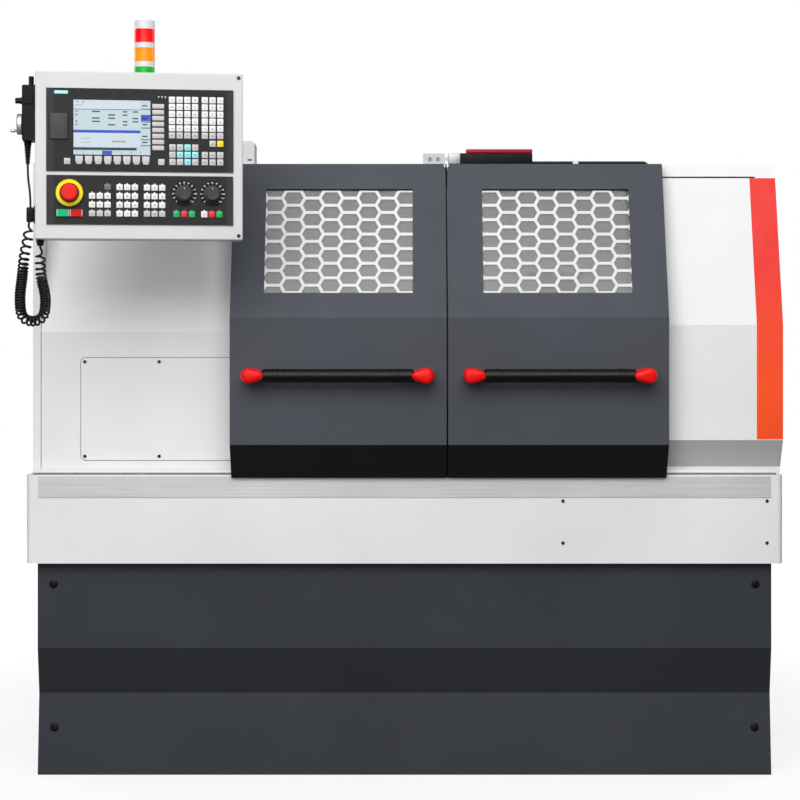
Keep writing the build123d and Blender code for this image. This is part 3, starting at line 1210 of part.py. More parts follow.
def lens(index):
    low = tower_levels()[index]
    start = (TOWER_X, TOWER_Y, low)
    return ring(TOWER_R, TOWER_R - LENS_WALL, start, (TOWER_X, TOWER_Y, low + LENS_HEIGHT))


# Control pendant
def pendant_arm():
    base_x = (ARM_BASE_LEFT, CHAMBER_LEFT + ARM_OVERHANG)
    base_y = (ARM_BASE_FRONT, ARM_BASE_FRONT + ARM_BASE_DEPTH)
    arm = block(base_x, base_y, (ROOF, ROOF + ARM_BASE_HEIGHT))
    arm = fillet(arm.edges().filter_by(Axis.Y).group_by(Axis.Z)[-1], ARM_BASE_ROUND)
    neck_y = (PIVOT_Y + PIVOT_BARREL_R / 2, ARM_BASE_FRONT)
    arm += block(around(PIVOT_X, ARM_NECK_WIDTH), neck_y, (NECK_BOTTOM, NECK_TOP))
    arm += rod(PIVOT_BARREL_R, (PIVOT_X, PIVOT_Y, BARREL_BOTTOM), (PIVOT_X, PIVOT_Y, BARREL_TOP))
    pin_low = (PIVOT_X, PIVOT_Y, BARREL_BOTTOM - CUT_OVERRUN)
    return arm - rod(PIVOT_PIN_R + SHAFT_GAP, pin_low, (PIVOT_X, PIVOT_Y, BARREL_TOP + CUT_OVERRUN))


def on_pendant(shape):
    """A shape drawn with the pivot at its origin, turned as the pendant stands at rest."""
    return Pos(PIVOT_X, PIVOT_Y, 0) * Rot(0, 0, PENDANT_TURN) * shape


def panel_frame(width, height, rise):
    """A panel's left edge, foot, width and height."""
    return (PANEL_CENTRE - width / 2, PENDANT_BOTTOM + rise, width, height)


def display_frame():
    return panel_frame(DISPLAY_WIDTH, DISPLAY_HEIGHT, DISPLAY_RISE)


def operator_frame():
    return panel_frame(OPERATOR_WIDTH, OPERATOR_HEIGHT, OPERATOR_RISE)


def panel_point(frame, shares):
    """A place on a panel from shares of its width and height."""
    left, foot, width, height = frame
    return (left + shares[0] * width, foot + shares[1] * height)


def tub(frame, grow, y_range):
    """The part of a panel that passes through the housing's front."""
    left, foot, width, height = frame
    x_range = (left + PANEL_TUB_INSET - grow, left + width - PANEL_TUB_INSET + grow)
    return block(x_range, y_range, (foot + PANEL_TUB_INSET - grow, foot + height - PANEL_TUB_INSET + grow))


def pendant_housing():
    front, rear = -PENDANT_REACH, -PENDANT_REACH + PENDANT_DEPTH
    z_range = (PENDANT_BOTTOM, PENDANT_BOTTOM + PENDANT_HEIGHT)
    case = block(around(0, PENDANT_WIDTH), (front, rear), z_range)
    case = fillet(case.edges().group_by(Axis.Y)[0], PENDANT_ROUND)
    inner_z = (z_range[0] + SHEET, z_range[1] - SHEET)
    case -= block(around(0, PENDANT_WIDTH - 2 * SHEET), (front + SHEET, rear - SHEET), inner_z)
    for frame in (display_frame(), operator_frame()):
        case -= tub(frame, PANEL_TUB_GAP, (front - CUT_OVERRUN, front + SHEET))
    ear_levels = (BARREL_BOTTOM - SLIDE_GAP - EAR_THICKNESS, BARREL_TOP + SLIDE_GAP)
    for low in ear_levels:
        case += block(around(0, EAR_WIDTH), (rear, 0), (low, low + EAR_THICKNESS))
        case += rod(EAR_WIDTH / 2, (0, 0, low), (0, 0, low + EAR_THICKNESS))
    case += rod(PIVOT_PIN_R, (0, 0, ear_levels[0]), (0, 0, ear_levels[1] + EAR_THICKNESS))
    return on_pendant(case)


def panel(frame):
    left, foot, width, height = frame
    plate = block((left, left + width), (PANEL_FACE, -PENDANT_REACH), (foot, foot + height))
    return plate + tub(frame, 0, (-PENDANT_REACH, -PENDANT_REACH + PANEL_TUB_DEPTH))


def screen_block(y_range):
    centre_u, centre_z = panel_point(display_frame(), SCREEN_CENTRE_SHARES)
    return block(around(centre_u, SCREEN_WIDTH), y_range, around(centre_z, SCREEN_HEIGHT))


def control_seat(frame, shares, radius):
    """A bore in a panel for a control's shaft."""
    u, z = panel_point(frame, shares)
    return rod(radius, (u, PANEL_FACE - CUT_OVERRUN, z), (u, PANEL_FACE + CONTROL_SEAT, z))


def button_block(shares, grow, y_range):
    u, z = panel_point(operator_frame(), shares)
    return block(around(u, BUTTON_WIDTH + 2 * grow), y_range, around(z, BUTTON_HEIGHT + 2 * grow))


def usb_hinge():
    """The interface cover's hinge axis: its left edge, just in front of the panel."""
    u, z = panel_point(display_frame(), USB_CENTRE_SHARES)
    return (u - USB_WIDTH / 2, PANEL_FACE - USB_HINGE_R - SLIDE_GAP, z)


def control_panels():
    display = panel(display_frame())
    display -= screen_block((PANEL_FACE - CUT_OVERRUN, PANEL_FACE + SCREEN_RECESS))
    operator = panel(operator_frame())
    for shares in (FEED_KNOB_SHARES, SPEED_KNOB_SHARES):
        operator -= control_seat(operator_frame(), shares, KNOB_SHAFT_R + SHAFT_GAP)
    u, z = panel_point(operator_frame(), ESTOP_SHARES)
    operator += rod(ESTOP_COLLAR_R, (u, PANEL_FACE - ESTOP_COLLAR_HEIGHT, z), (u, PANEL_FACE, z))
    bore_start = (u, PANEL_FACE - ESTOP_COLLAR_HEIGHT - CUT_OVERRUN, z)
    operator -= rod(ESTOP_STEM_R + SLIDE_GAP, bore_start, (u, PANEL_FACE + CONTROL_SEAT, z))
    for shares in (START_SHARES, STOP_SHARES):
        operator -= button_block(shares, SLIDE_GAP, (PANEL_FACE - CUT_OVERRUN, PANEL_FACE + CONTROL_SEAT))
    return group([on_pendant(display), on_pendant(operator)])


def display_screen():
    low = PANEL_FACE + SCREEN_RECESS - SCREEN_THICKNESS
    return on_pendant(screen_block((low, PANEL_FACE + SCREEN_RECESS)))


def key_caps(frame, table):
    caps = []
    for columns, rows, first_u, first_z, pitch_u, pitch_z, width, height in table:
        for column in range(columns):
            for row in range(rows):
                shares = (first_u + column * pitch_u, first_z - row * pitch_z)
                u, z = panel_point(frame, shares)
                cap = block(around(u, width), (PANEL_FACE - KEY_THICK, PANEL_FACE), around(z, height))
                caps.append(on_pendant(cap))
    return caps


def keypads():
    return group(
        key_caps(display_frame(), DISPLAY_KEY_SHARES) + key_caps(operator_frame(), OPERATOR_KEY_SHARES)
    )


def usb_cover():
    u, y, z = usb_hinge()
    z_range = around(z, USB_HEIGHT)
    outer = PANEL_FACE - SLIDE_GAP - USB_THICKNESS
    flap = block((u, u + USB_WIDTH), (outer, PANEL_FACE - SLIDE_GAP), z_range)
    return on_pendant(flap + rod(USB_HINGE_R, (u, y, z_range[0]), (u, y, z_range[1])))


def estop_button():
    u, z = panel_point(operator_frame(), ESTOP_SHARES)
    collar_face = PANEL_FACE - ESTOP_COLLAR_HEIGHT
    head_back = collar_face - ESTOP_GAP
    head = rod(ESTOP_R, (u, head_back, z), (u, head_back - ESTOP_HEAD_HEIGHT, z))
    head = fillet(head.edges().group_by(Axis.Y)[0], ESTOP_ROUND)
    return on_pendant(head + rod(ESTOP_STEM_R, (u, head_back, z), (u, PANEL_FACE, z)))


def push_button(shares):
    return on_pendant(button_block(shares, 0, (PANEL_FACE - BUTTON_PROUD, PANEL_FACE + BUTTON_SEAT)))


def knob(shares):
    u, z = panel_point(operator_frame(), shares)
    back = PANEL_FACE - SLIDE_GAP
    skirt_face = back - KNOB_SKIRT_HEIGHT
    body = rod(KNOB_SKIRT_R, (u, back, z), (u, skirt_face, z))
    body += rod(KNOB_R, (u, skirt_face, z), (u, back - KNOB_HEIGHT, z))
    return on_pendant(body + rod(KNOB_SHAFT_R, (u, back, z), (u, PANEL_FACE + CONTROL_SEAT - SLIDE_GAP, z)))


# Hand-wheel unit and its cord
def mpg_body():
    y_range = around(-MPG_BACK, MPG_DEPTH)
    top = MPG_BOTTOM + MPG_HEIGHT
    body = block((MPG_FACE, PENDANT_SIDE), y_range, (MPG_BOTTOM, top))
    body = fillet(body.edges().group_by(Axis.X)[0], MPG_ROUND)
    stub_u = PENDANT_SIDE - MPG_STUB_INSET
    body += rod(MPG_STUB_R, (stub_u, -MPG_BACK, top), (stub_u, -MPG_BACK, top + MPG_STUB_HEIGHT))
    bump_z = around(MPG_BOTTOM + MPG_BUMP_RISE, MPG_BUMP_HEIGHT)
    bump_u = around(PENDANT_SIDE - MPG_THICKNESS / 2, MPG_BUMP_WIDTH)
    body += block(bump_u, (y_range[0] - MPG_BUMP_DEPTH, y_range[0]), bump_z)
    for z in (WHEEL_Z, SELECTOR_Z):
        seat_end = (MPG_FACE + MPG_SHAFT_DEPTH, -MPG_BACK, z)
        body -= rod(MPG_SHAFT_R + SHAFT_GAP, (MPG_FACE - CUT_OVERRUN, -MPG_BACK, z), seat_end)
    return on_pendant(body)


def mpg_wheel():
    back = MPG_FACE - SLIDE_GAP
    face = back - WHEEL_THICKNESS
    wheel = rod(WHEEL_R, (back, -MPG_BACK, WHEEL_Z), (face, -MPG_BACK, WHEEL_Z))
    wheel = fillet(wheel.edges().group_by(Axis.X)[0], WHEEL_ROUND)
    crank_z = WHEEL_Z - CRANK_ARM
    wheel += rod(CRANK_R, (face, -MPG_BACK, crank_z), (face - CRANK_LENGTH, -MPG_BACK, crank_z))
    return on_pendant(wheel + mpg_shaft(WHEEL_Z))


def mpg_shaft(z):
    """The shaft of a turning control, seated in the unit's face."""
    end = MPG_FACE + MPG_SHAFT_DEPTH - SLIDE_GAP
    return rod(MPG_SHAFT_R, (MPG_FACE - SLIDE_GAP, -MPG_BACK, z), (end, -MPG_BACK, z))


def mpg_selector():
    back = MPG_FACE - SLIDE_GAP
    cap = rod(SELECTOR_R, (back, -MPG_BACK, SELECTOR_Z), (back - SELECTOR_LENGTH, -MPG_BACK, SELECTOR_Z))
    return on_pendant(cap + mpg_shaft(SELECTOR_Z))


def cord_reliefs():
    relief_u = PENDANT_SIDE + CORD_ROUTE[0][0]
    relief = Pos(relief_u, -MPG_BACK, MPG_BOTTOM - RELIEF_LENGTH) * Cone(
        RELIEF_END_R, RELIEF_TOP_R, RELIEF_LENGTH, align=LOW
    )
    clamp_low = PENDANT_BOTTOM + CLAMP_RISE
    clamp_z = (clamp_low, clamp_low + CLAMP_HEIGHT)
    clamp = block((PENDANT_SIDE - CLAMP_WIDTH, PENDANT_SIDE), around(-MPG_BACK, CLAMP_DEPTH), clamp_z)
    gland_u = PENDANT_SIDE + COIL_ROUTE[-1][0]
    gland = rod(
        GLAND_R, (gland_u, -MPG_BACK, PENDANT_BOTTOM - GLAND_LENGTH), (gland_u, -MPG_BACK, PENDANT_BOTTOM)
    )
    return group(on_pendant(solid) for solid in (relief, clamp, gland))


def cord_tube(name, route, radius):
    """A tube of straight runs joined by arcs as large as the runs allow."""
    points = [Vector(PENDANT_SIDE + across, -MPG_BACK, PENDANT_BOTTOM + up) for across, up in route]
    radii = []
    for before, point, after in zip(points, points[1:], points[2:]):
        run_in = point - before
        run_out = after - point
        turn = math.radians(run_in.get_angle(run_out))
        radii.append(ARC_SHARE * min(run_in.length, run_out.length) / math.tan(turn / 2))
    path = FilletPolyline(*points, radius=radii)
    tube = sweep(Plane(origin=path @ 0, z_dir=path % 0) * Circle(radius), path=path)
    expected = math.pi * radius ** 2 * path.length
    print(name, "radii", [round(value, 1) for value in radii], "length", round(path.length, 1))
    print(name, "volume over section times length", round(tube.volume / expected, 4))
    return on_pendant(tube)


def make_nodes():
    """Every node's shape, by name."""
    nodes = {
        "base_stand": base_stand(),
        "chip_tray": chip_tray(),
        "trim_strip": trim_strip(),
        "bed": bed(),
        "headstock": headstock(),
        "bearings": bearings(),
        "headstock_cover": headstock_cover(),
        "end_cover": end_cover(),
        "access_panel": access_panel(),
        "tailstock_cover": tailstock_cover(),
        "rear_guard": rear_guard(),
        "door_rails": door_rails(),
        "drive_motors": drive_motors(),
        "drive_belt": drive_belt(),
        "electrical_cabinet": electrical_cabinet(),
        "cabinet_door": cabinet_door(),
        "signal_tower": signal_tower(),
        "pendant_arm": pendant_arm(),
        "spindle": spindle(),
        "chuck": chuck(),
        "motor_pulley": motor_pulley(),
        "carriage_screw": carriage_screw(),
        "carriage": carriage(),
        "cross_slide": cross_slide(),
        "tool_turret": tool_turret(),
        "tailstock": tailstock(),
        "quill": quill(),
        "left_door": door(LEFT_DOOR, 1),
        "left_window": pane(LEFT_DOOR),
        "left_guard": hex_guard(LEFT_DOOR, LEFT_GUARD_SHIFT),
        "left_handle": handle(LEFT_DOOR),
        "interlock_key": interlock_key(),
        "right_door": door(RIGHT_DOOR, -1) - interlock_cable(CABLE_R + SLIDE_GAP),
        "right_window": pane(RIGHT_DOOR),
        "right_guard": hex_guard(RIGHT_DOOR, RIGHT_GUARD_SHIFT),
        "right_handle": handle(RIGHT_DOOR),
        "interlock_switch": interlock_switch(),
        "interlock_cable": interlock_cable(),
        "pendant_housing": pendant_housing(),
        "control_panels": control_panels(),
        "display_screen": display_screen(),
        "keypads": keypads(),
        "usb_cover": usb_cover(),
        "estop_button": estop_button(),
        "start_button": push_button(START_SHARES),
        "stop_button": push_button(STOP_SHARES),
        "feed_knob": knob(FEED_KNOB_SHARES),
        "spindle_knob": knob(SPEED_KNOB_SHARES),
        "mpg_body": mpg_body(),
        "mpg_wheel": mpg_wheel(),
        "mpg_selector": mpg_selector(),
        "cord_reliefs": cord_reliefs(),
        "mpg_cord": cord_tube("mpg_cord", CORD_ROUTE, CORD_R),
        "mpg_coil": cord_tube("mpg_coil", COIL_ROUTE, COIL_R),
    }
    for index in range(JAW_COUNT):
        nodes[f"chuck_jaw_{index + 1}"] = chuck_jaw(index)
    for index, colour in enumerate(LENS_COLOURS):
        nodes[f"lens_{colour}"] = lens(index)
    return nodes


def main():
    os.makedirs("parts", exist_ok=True)
    for name, shape in make_nodes().items():
        export_step(shape, f"parts/{name}.step")


if __name__ == "__main__":
    main()
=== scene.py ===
import json
import math

import bmesh
import bpy
from mathutils import Matrix, Vector


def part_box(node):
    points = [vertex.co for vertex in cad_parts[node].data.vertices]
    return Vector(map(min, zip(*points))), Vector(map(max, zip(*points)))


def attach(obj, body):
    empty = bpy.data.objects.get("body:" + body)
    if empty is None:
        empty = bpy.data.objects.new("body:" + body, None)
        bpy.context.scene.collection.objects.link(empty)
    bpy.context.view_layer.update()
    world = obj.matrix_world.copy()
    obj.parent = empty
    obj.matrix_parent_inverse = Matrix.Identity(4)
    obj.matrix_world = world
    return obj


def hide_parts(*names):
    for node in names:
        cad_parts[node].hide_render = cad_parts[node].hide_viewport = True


# The dressed turning lathe: finishes, cords, control panels and small fittings around its solids.
# Metres, in the solids' own frame: X towards the tailstock, Y away from the operator, Z up.

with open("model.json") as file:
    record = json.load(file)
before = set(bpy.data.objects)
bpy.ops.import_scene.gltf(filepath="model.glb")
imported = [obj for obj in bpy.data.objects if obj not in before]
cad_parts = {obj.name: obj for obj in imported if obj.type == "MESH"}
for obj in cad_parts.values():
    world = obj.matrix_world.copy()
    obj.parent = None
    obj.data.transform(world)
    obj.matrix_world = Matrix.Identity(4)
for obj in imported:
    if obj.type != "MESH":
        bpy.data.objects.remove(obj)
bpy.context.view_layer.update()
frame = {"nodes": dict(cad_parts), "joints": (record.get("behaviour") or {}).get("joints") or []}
nodes = frame["nodes"]
joints = {joint["name"]: joint for joint in frame["joints"]}

FRONT = (0, -1, 0)
BACK = (0, 1, 0)
LEFT = (-1, 0, 0)
RIGHT = (1, 0, 0)
DOWN = (0, 0, -1)
TURN = 2 * math.pi
STRAIGHT = Matrix.Identity(4)

# The pendant's own frame: its pivot at the origin, turned as it stands at rest
PENDANT_TURN = math.radians(8.0)
PIVOT = Vector(joints["pendant_swivel"]["pos_m"])
PENDANT = Matrix.Translation((PIVOT.x, PIVOT.y, 0)) @ Matrix.Rotation(PENDANT_TURN, 4, "Z")

# Camera: level, square to the machine's front
CAMERA_PLACE = (-0.011, -5.235, 1.106)
CAMERA_LENS = 90.0
CAMERA_SHIFT = -0.0975

# Cords of the hand-wheel unit, in the pendant's frame
CORD_LEVEL = -0.080
CORD_ROUTE = ((-0.254, 1.468), (-0.254, 1.436), (-0.248, 1.400), (-0.248, 1.369))
COIL_ROUTE = (
    (-0.251, 1.335), (-0.251, 1.308), (-0.262, 1.262), (-0.266, 1.212), (-0.273, 1.160), (-0.267, 1.108),
    (-0.219, 1.108), (-0.212, 1.160), (-0.225, 1.210), (-0.226, 1.250), (-0.226, 1.281),
)
CORD_DIAMETER = 0.005
CORD_STEPS = 12
CORD_ROUNDNESS = 4
WIRE_DIAMETER = 0.0052
WIRE_STEPS = 2
WIRE_ROUNDNESS = 3
TURN_RADIUS = 0.0106
TURN_TILT_SHARE = 0.35
TURN_POINTS = 14
CLOSE_PITCH = 0.0057
OPEN_PITCH_START = 0.0175
OPEN_PITCH_END = 0.0150
OPEN_START = 0.130
OPEN_END = 0.090
OPEN_EASE = 1.6
TURN_LEAD = 0.030
LEAD_PITCH = 0.050
LEAST_BEND_SHARE = 0.2
FINE_STEPS = 200


# Shared shapes
def link(thing):
    bpy.context.scene.collection.objects.link(thing)
    return thing


def facing(point, normal):
    """A frame at a point whose third axis points along a normal and whose second points up."""
    turn = Vector(normal).to_track_quat("Z", "Y").to_matrix().to_4x4()
    return Matrix.Translation(point) @ turn


def smoothed(share):
    share = min(max(share, 0.0), 1.0)
    return share * share * (3 - 2 * share)


def inset(low, high, margin):
    return low + margin, high - margin


def skin(loops, closed=False):
    """A mesh over loops of points; one point is a tip, and closed joins the last loop to the first."""
    part = bmesh.new()
    rows = [[part.verts.new(point) for point in loop] for loop in loops]
    steps = max(len(row) for row in rows)
    for low, high in zip(rows, rows[1:] + rows[:closed]):
        for step in range(steps):
            after = (step + 1) % steps
            order = ((low, step), (low, after), (high, after), (high, step))
            spots = list(dict.fromkeys(row[place % len(row)] for row, place in order))
            if len(spots) > 2:
                part.faces.new(spots)
    for row in (rows[0], rows[-1]):
        if len(row) > 2 and not closed:
            part.faces.new(row)
    return part


def turned(line, steps=32, ripple=None, closed=False):
    """A solid of revolution about Z from (radius, height) points; ripple may change a radius by its angle."""
    turns = [TURN * step / steps for step in range(steps)]

    def spot(radius, height, angle):
        reach = ripple(radius, height, angle) if ripple else radius
        return reach * math.cos(angle), reach * math.sin(angle), height

    return skin([[spot(r, z, angle) for angle in (turns if r else turns[:1])] for r, z in line], closed)


def rounded_box(size, soft, steps=2):
    """A box about the origin with all its edges rounded."""
    part = bmesh.new()
    bmesh.ops.create_cube(part, size=1.0)
    bmesh.ops.scale(part, vec=Vector(size), verts=part.verts)
    bmesh.ops.bevel(part, geom=part.edges[:], offset=soft, segments=steps, profile=0.5, affect="EDGES")
    return part


def prism(outline, depth, soft=0.0, steps=2):
    """An outline of (x, y) points raised along Z, with its top edge rounded."""
    part = bmesh.new()
    face = part.faces.new([part.verts.new((x, y, 0)) for x, y in outline])
    made = bmesh.ops.extrude_face_region(part, geom=[face])
    top = {item for item in made["geom"] if isinstance(item, bmesh.types.BMVert)}
    bmesh.ops.translate(part, vec=(0, 0, depth), verts=list(top))
    bmesh.ops.recalc_face_normals(part, faces=part.faces)
    if soft:
        rim = [edge for edge in part.edges if top.issuperset(edge.verts)]
        bmesh.ops.bevel(part, geom=rim, offset=soft, segments=steps, profile=0.5, affect="EDGES")
    return part


def arc(centre, radius, start, end, steps):
    """Points of a round stretch of an outline, in degrees."""
    angles = [math.radians(start + (end - start) * step / steps) for step in range(steps + 1)]
    return [(centre[0] + radius * math.cos(a), centre[1] + radius * math.sin(a)) for a in angles]


def round_corners(width, height, radius, steps=6):
    """The outline of a rectangle about the origin with round corners."""
    outline = []
    for quarter, (side, up) in enumerate(((1, 1), (-1, 1), (-1, -1), (1, -1))):
        centre = (side * (width / 2 - radius), up * (height / 2 - radius))
        outline += arc(centre, radius, 90 * quarter, 90 * (quarter + 1), steps)
    return outline


def circle(radius, steps=64):
    return arc((0, 0), radius, 0, 360 - 360 / steps, steps - 1)


def band(outer, inner, depth):
    """A flat ring along Z between two outlines with the same number of points."""
    levels = ((outer, 0), (outer, depth), (inner, depth), (inner, 0))
    return skin([[(x, y, height) for x, y in line] for line, height in levels], True)


def round_band(width, height, radius, wall, depth):
    """A flat ring along Z round a rectangle with round corners."""
    outer = round_corners(width + 2 * wall, height + 2 * wall, radius + wall)
    return band(outer, round_corners(width, height, radius), depth)


def strip(line, x_range, depth):
    """A strip along (y, z) points, as wide as a range of x, with its depth behind the points."""
    left, right = x_range
    return skin([[(left, y, z), (right, y, z), (right, y + depth, z), (left, y + depth, z)] for y, z in line])


def folded_front(front, foot, fold, top, lean):
    """A (y, z) line up an upright face and then back along a leaning one."""
    return [(front, foot), (front, fold), (front + (top - fold) * math.tan(lean), top)]


def lettering(text, size, depth, bold=0.0):
    """Figures as a mesh in the XY plane, about the origin."""
    curve = bpy.data.curves.new("figures", "FONT")
    curve.body = text
    curve.size = size
    curve.extrude = depth
    curve.offset = bold
    curve.align_x = "CENTER"
    curve.align_y = "CENTER"
    holder = link(bpy.data.objects.new("figures", curve))
    mesh = bpy.data.meshes.new_from_object(holder)
    part = bmesh.new()
    part.from_mesh(mesh)
    bpy.data.objects.remove(holder)
    bpy.data.curves.remove(curve)
    bpy.data.meshes.remove(mesh)
    return part


class Build:
    """A mesh put together from simple shapes, each in one of the piece's materials."""

    sharp_angle = math.radians(38.0)

    def __init__(self, place=STRAIGHT):
        self.place = place
        self.shape = bmesh.new()

    def add(self, part, place=STRAIGHT, material=0):
        bmesh.ops.recalc_face_normals(part, faces=part.faces)
        bmesh.ops.transform(part, matrix=self.place @ place, verts=part.verts)
        for face in part.faces:
            face.material_index = material
            face.smooth = True
        scratch = bpy.data.meshes.new("scratch")
        part.to_mesh(scratch)
        part.free()
        self.shape.from_mesh(scratch)
        bpy.data.meshes.remove(scratch)

    def box(self, low, high, soft, material=0, steps=2):
        size = [b - a for a, b in zip(low, high)]
        middle = [(a + b) / 2 for a, b in zip(low, high)]
        self.add(rounded_box(size, soft, steps), Matrix.Translation(middle), material)

    def piece(self, name, body, slot, *materials, replaces=()):
        mesh = bpy.data.meshes.new(name)
        self.shape.to_mesh(mesh)
        self.shape.free()
        mesh.set_sharp_from_angle(angle=self.sharp_angle)
        for material in materials:
            mesh.materials.append(material)
        thing = link(bpy.data.objects.new(name, mesh))
        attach(thing, body)
        if replaces:
            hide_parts(*replaces)


def lone(part, place, *facts, base=STRAIGHT, **more):
    """A piece of one shape."""
    build = Build(base)
    build.add(part, place)
    build.piece(*facts, **more)


# Places read from the solids
WELD_DIGITS = 6


def extent(points):
    """The lowest and highest corner of some points."""
    return [Vector([pick(point[axis] for point in points) for axis in range(3)]) for pick in (min, max)]


def on_pendant_frame(node):
    back = PENDANT.inverted()
    return [back @ vertex.co for vertex in nodes[node].data.vertices]


def local_box(node):
    """A node's lowest and highest corner in the pendant's frame."""
    return extent(on_pendant_frame(node))


def solids_of(node):
    """The boxes of a node's separate solids, in the pendant's frame."""
    mesh = nodes[node].data
    spots = {}
    home = []
    for vertex in mesh.vertices:
        spot = tuple(round(value, WELD_DIGITS) for value in vertex.co)
        home.append(spots.setdefault(spot, len(spots)))
    parent = list(range(len(spots)))

    def root(item):
        while parent[item] != item:
            parent[item] = parent[parent[item]]
            item = parent[item]
        return item

    for edge in mesh.edges:
        first, second = (root(home[vertex]) for vertex in edge.vertices)
        parent[first] = second
    groups = {}
    for point, spot in zip(on_pendant_frame(node), home):
        groups.setdefault(root(spot), []).append(point)
    return [extent(points) for points in groups.values()]


# Camera
def make_camera():
    camera = link(bpy.data.objects.new("camera", bpy.data.cameras.new("camera")))
    camera.data.lens = CAMERA_LENS
    camera.data.shift_y = CAMERA_SHIFT
    camera.location = CAMERA_PLACE
    camera.rotation_euler = (math.radians(90), 0, 0)
    bpy.context.scene.camera = camera


make_camera()

# Surfaces: how rich a noise is, and where its usual low and high values lie
GRAIN = 2.0
PLAIN = 3.0
CLOUD = 4.0
BLOTCH = 5.0
CLOUD_START = 0.3
CLOUD_END = 0.7
PURE = (1.0, 1.0, 1.0, 1.0)
DARK = (0.0, 0.0, 0.0, 1.0)


def linear(levels):
    """A colour as the eye reads it, from 0 to 255, in the form that shaders take."""
    shares = [level / 255 for level in levels]
    return tuple(s / 12.92 if s <= 0.04045 else ((s + 0.055) / 1.055) ** 2.4 for s in shares) + (1.0,)


def scaled(colour, factor):
    return tuple(min(value * factor, 1.0) for value in colour[:3]) + (1.0,)


def feed(tree, node, **inputs):
    """Sets or links a node's inputs by name."""
    for name, value in inputs.items():
        socket = node.inputs[name.replace("_", " ")]
        if isinstance(value, bpy.types.NodeSocket):
            tree.links.new(value, socket)
        else:
            socket.default_value = value
    return node


class Surface:
    """A procedural material: a shader, its place on the object, and the nodes that vary it."""

    def __init__(self, name, shine=0.5, **sockets):
        self.material = bpy.data.materials.new(name)
        self.material.use_nodes = True
        self.tree = self.material.node_tree
        self.shader = self.tree.nodes["Principled BSDF"]
        self.place = self.node("TexCoord").outputs["Object"]
        feed(self.tree, self.shader, Specular_IOR_Level=shine, **sockets)

    def node(self, kind, **inputs):
        return feed(self.tree, self.tree.nodes.new("ShaderNode" + kind), **inputs)

    def stretched(self, scale):
        return self.node("Mapping", Vector=self.place, Scale=scale).outputs["Vector"]

    def noise(self, scale, detail=PLAIN, place=None):
        spot = self.place if place is None else place
        return self.node("TexNoise", Vector=spot, Scale=scale, Detail=detail).outputs["Fac"]

    def ranged(self, value, low, high, start=CLOUD_START, end=CLOUD_END):
        made = self.node("MapRange", Value=value, From_Min=start, From_Max=end, To_Min=low, To_Max=high)
        return made.outputs["Result"]

    def worn(self, value, rough, wear):
        """Roughness that varies with a value, from a little under to a little over."""
        return self.ranged(value, rough + wear[0], rough + wear[1])

    def ramp(self, value, first, second, start=0.0, end=1.0):
        made = self.node("ValToRGB", Fac=value)
        for element, spot, colour in zip(made.color_ramp.elements, (start, end), (first, second)):
            element.position = spot
            element.color = colour
        return made.outputs["Color"]

    def clouded(self, value, colour, low, high, start=CLOUD_START, end=CLOUD_END):
        """A colour whose brightness varies with a value between two shares."""
        return self.ramp(value, scaled(colour, low), scaled(colour, high), start, end)

    def faded(self, foot, top, levels):
        """A colour that changes with height between two levels."""
        height = self.node("SeparateXYZ", Vector=self.place).outputs["Z"]
        return self.ramp(self.ranged(height, 0.0, 1.0, *levels), linear(foot), linear(top))

    def mixed(self, first, second, kind="MULTIPLY", share=1.0):
        made = self.node("Mix")
        made.data_type = "RGBA"
        made.blend_type = kind
        feed(self.tree, made, Factor=share)
        colours = [socket for socket in made.inputs if socket.type == "RGBA"]
        for value, socket in zip((first, second), colours):
            self.tree.links.new(value, socket)
        return [socket for socket in made.outputs if socket.type == "RGBA"][0]

    def finished(self, colour, rough, height, depth, **sockets):
        """The material with its colour, roughness and fine relief."""
        bump = self.node("Bump", Height=height, Distance=depth, Strength=1.0).outputs["Normal"]
        feed(self.tree, self.shader, Base_Color=colour, Roughness=rough, Normal=bump, **sockets)
        return self.material


def coat(
    name, levels, rough, peel=700.0, depth=0.00006, patch=2.5, spread=0.05, underside_shade=None, shine=0.5,
    fleck_shares=(0.25, 0.6), blotch_ratio=7, wear=(-0.06, 0.08),
):
    """Powder coat: orange peel, cloudy colour, and painted shade that darkens every face that looks down.

    The painted shade is a pair: the share of the colour left on faces that look down, and the downward slope
    where that share is reached.
    """
    made = Surface(name, shine)
    grains = made.noise(peel, GRAIN)
    base = made.clouded(made.noise(patch, CLOUD), linear(levels), 1 - spread, 1 + spread)
    paint = made.mixed(base, made.clouded(grains, PURE, 1 - spread, 1, *fleck_shares))
    # Painted shade: faces that look down are darkened to a share of their colour
    if underside_shade:
        share, slope = underside_shade
        normal = made.node("NewGeometry").outputs["Normal"]
        upward = made.node("SeparateXYZ", Vector=normal).outputs["Z"]
        paint = made.mixed(paint, made.ramp(made.ranged(upward, share, 1.0, -slope, 0.0), DARK, PURE))
    blotches = made.noise(patch * blotch_ratio, BLOTCH)
    return made.finished(paint, made.worn(blotches, rough, wear), grains, depth)


def moulded(
    name, levels, rough, spread=0.07, shine=0.5, depth=0.00005, flow=35.0, rub=60.0, grain=1500.0,
    wear=(-0.05, 0.10),
):
    """Moulded plastic: a fine spark texture, faint flow marks and rubbed patches."""
    made = Surface(name, shine)
    base = made.clouded(made.noise(flow, CLOUD), linear(levels), 1 - spread, 1 + spread)
    rubbed = made.worn(made.noise(rub, BLOTCH), rough, wear)
    return made.finished(base, rubbed, made.noise(grain, GRAIN), depth)


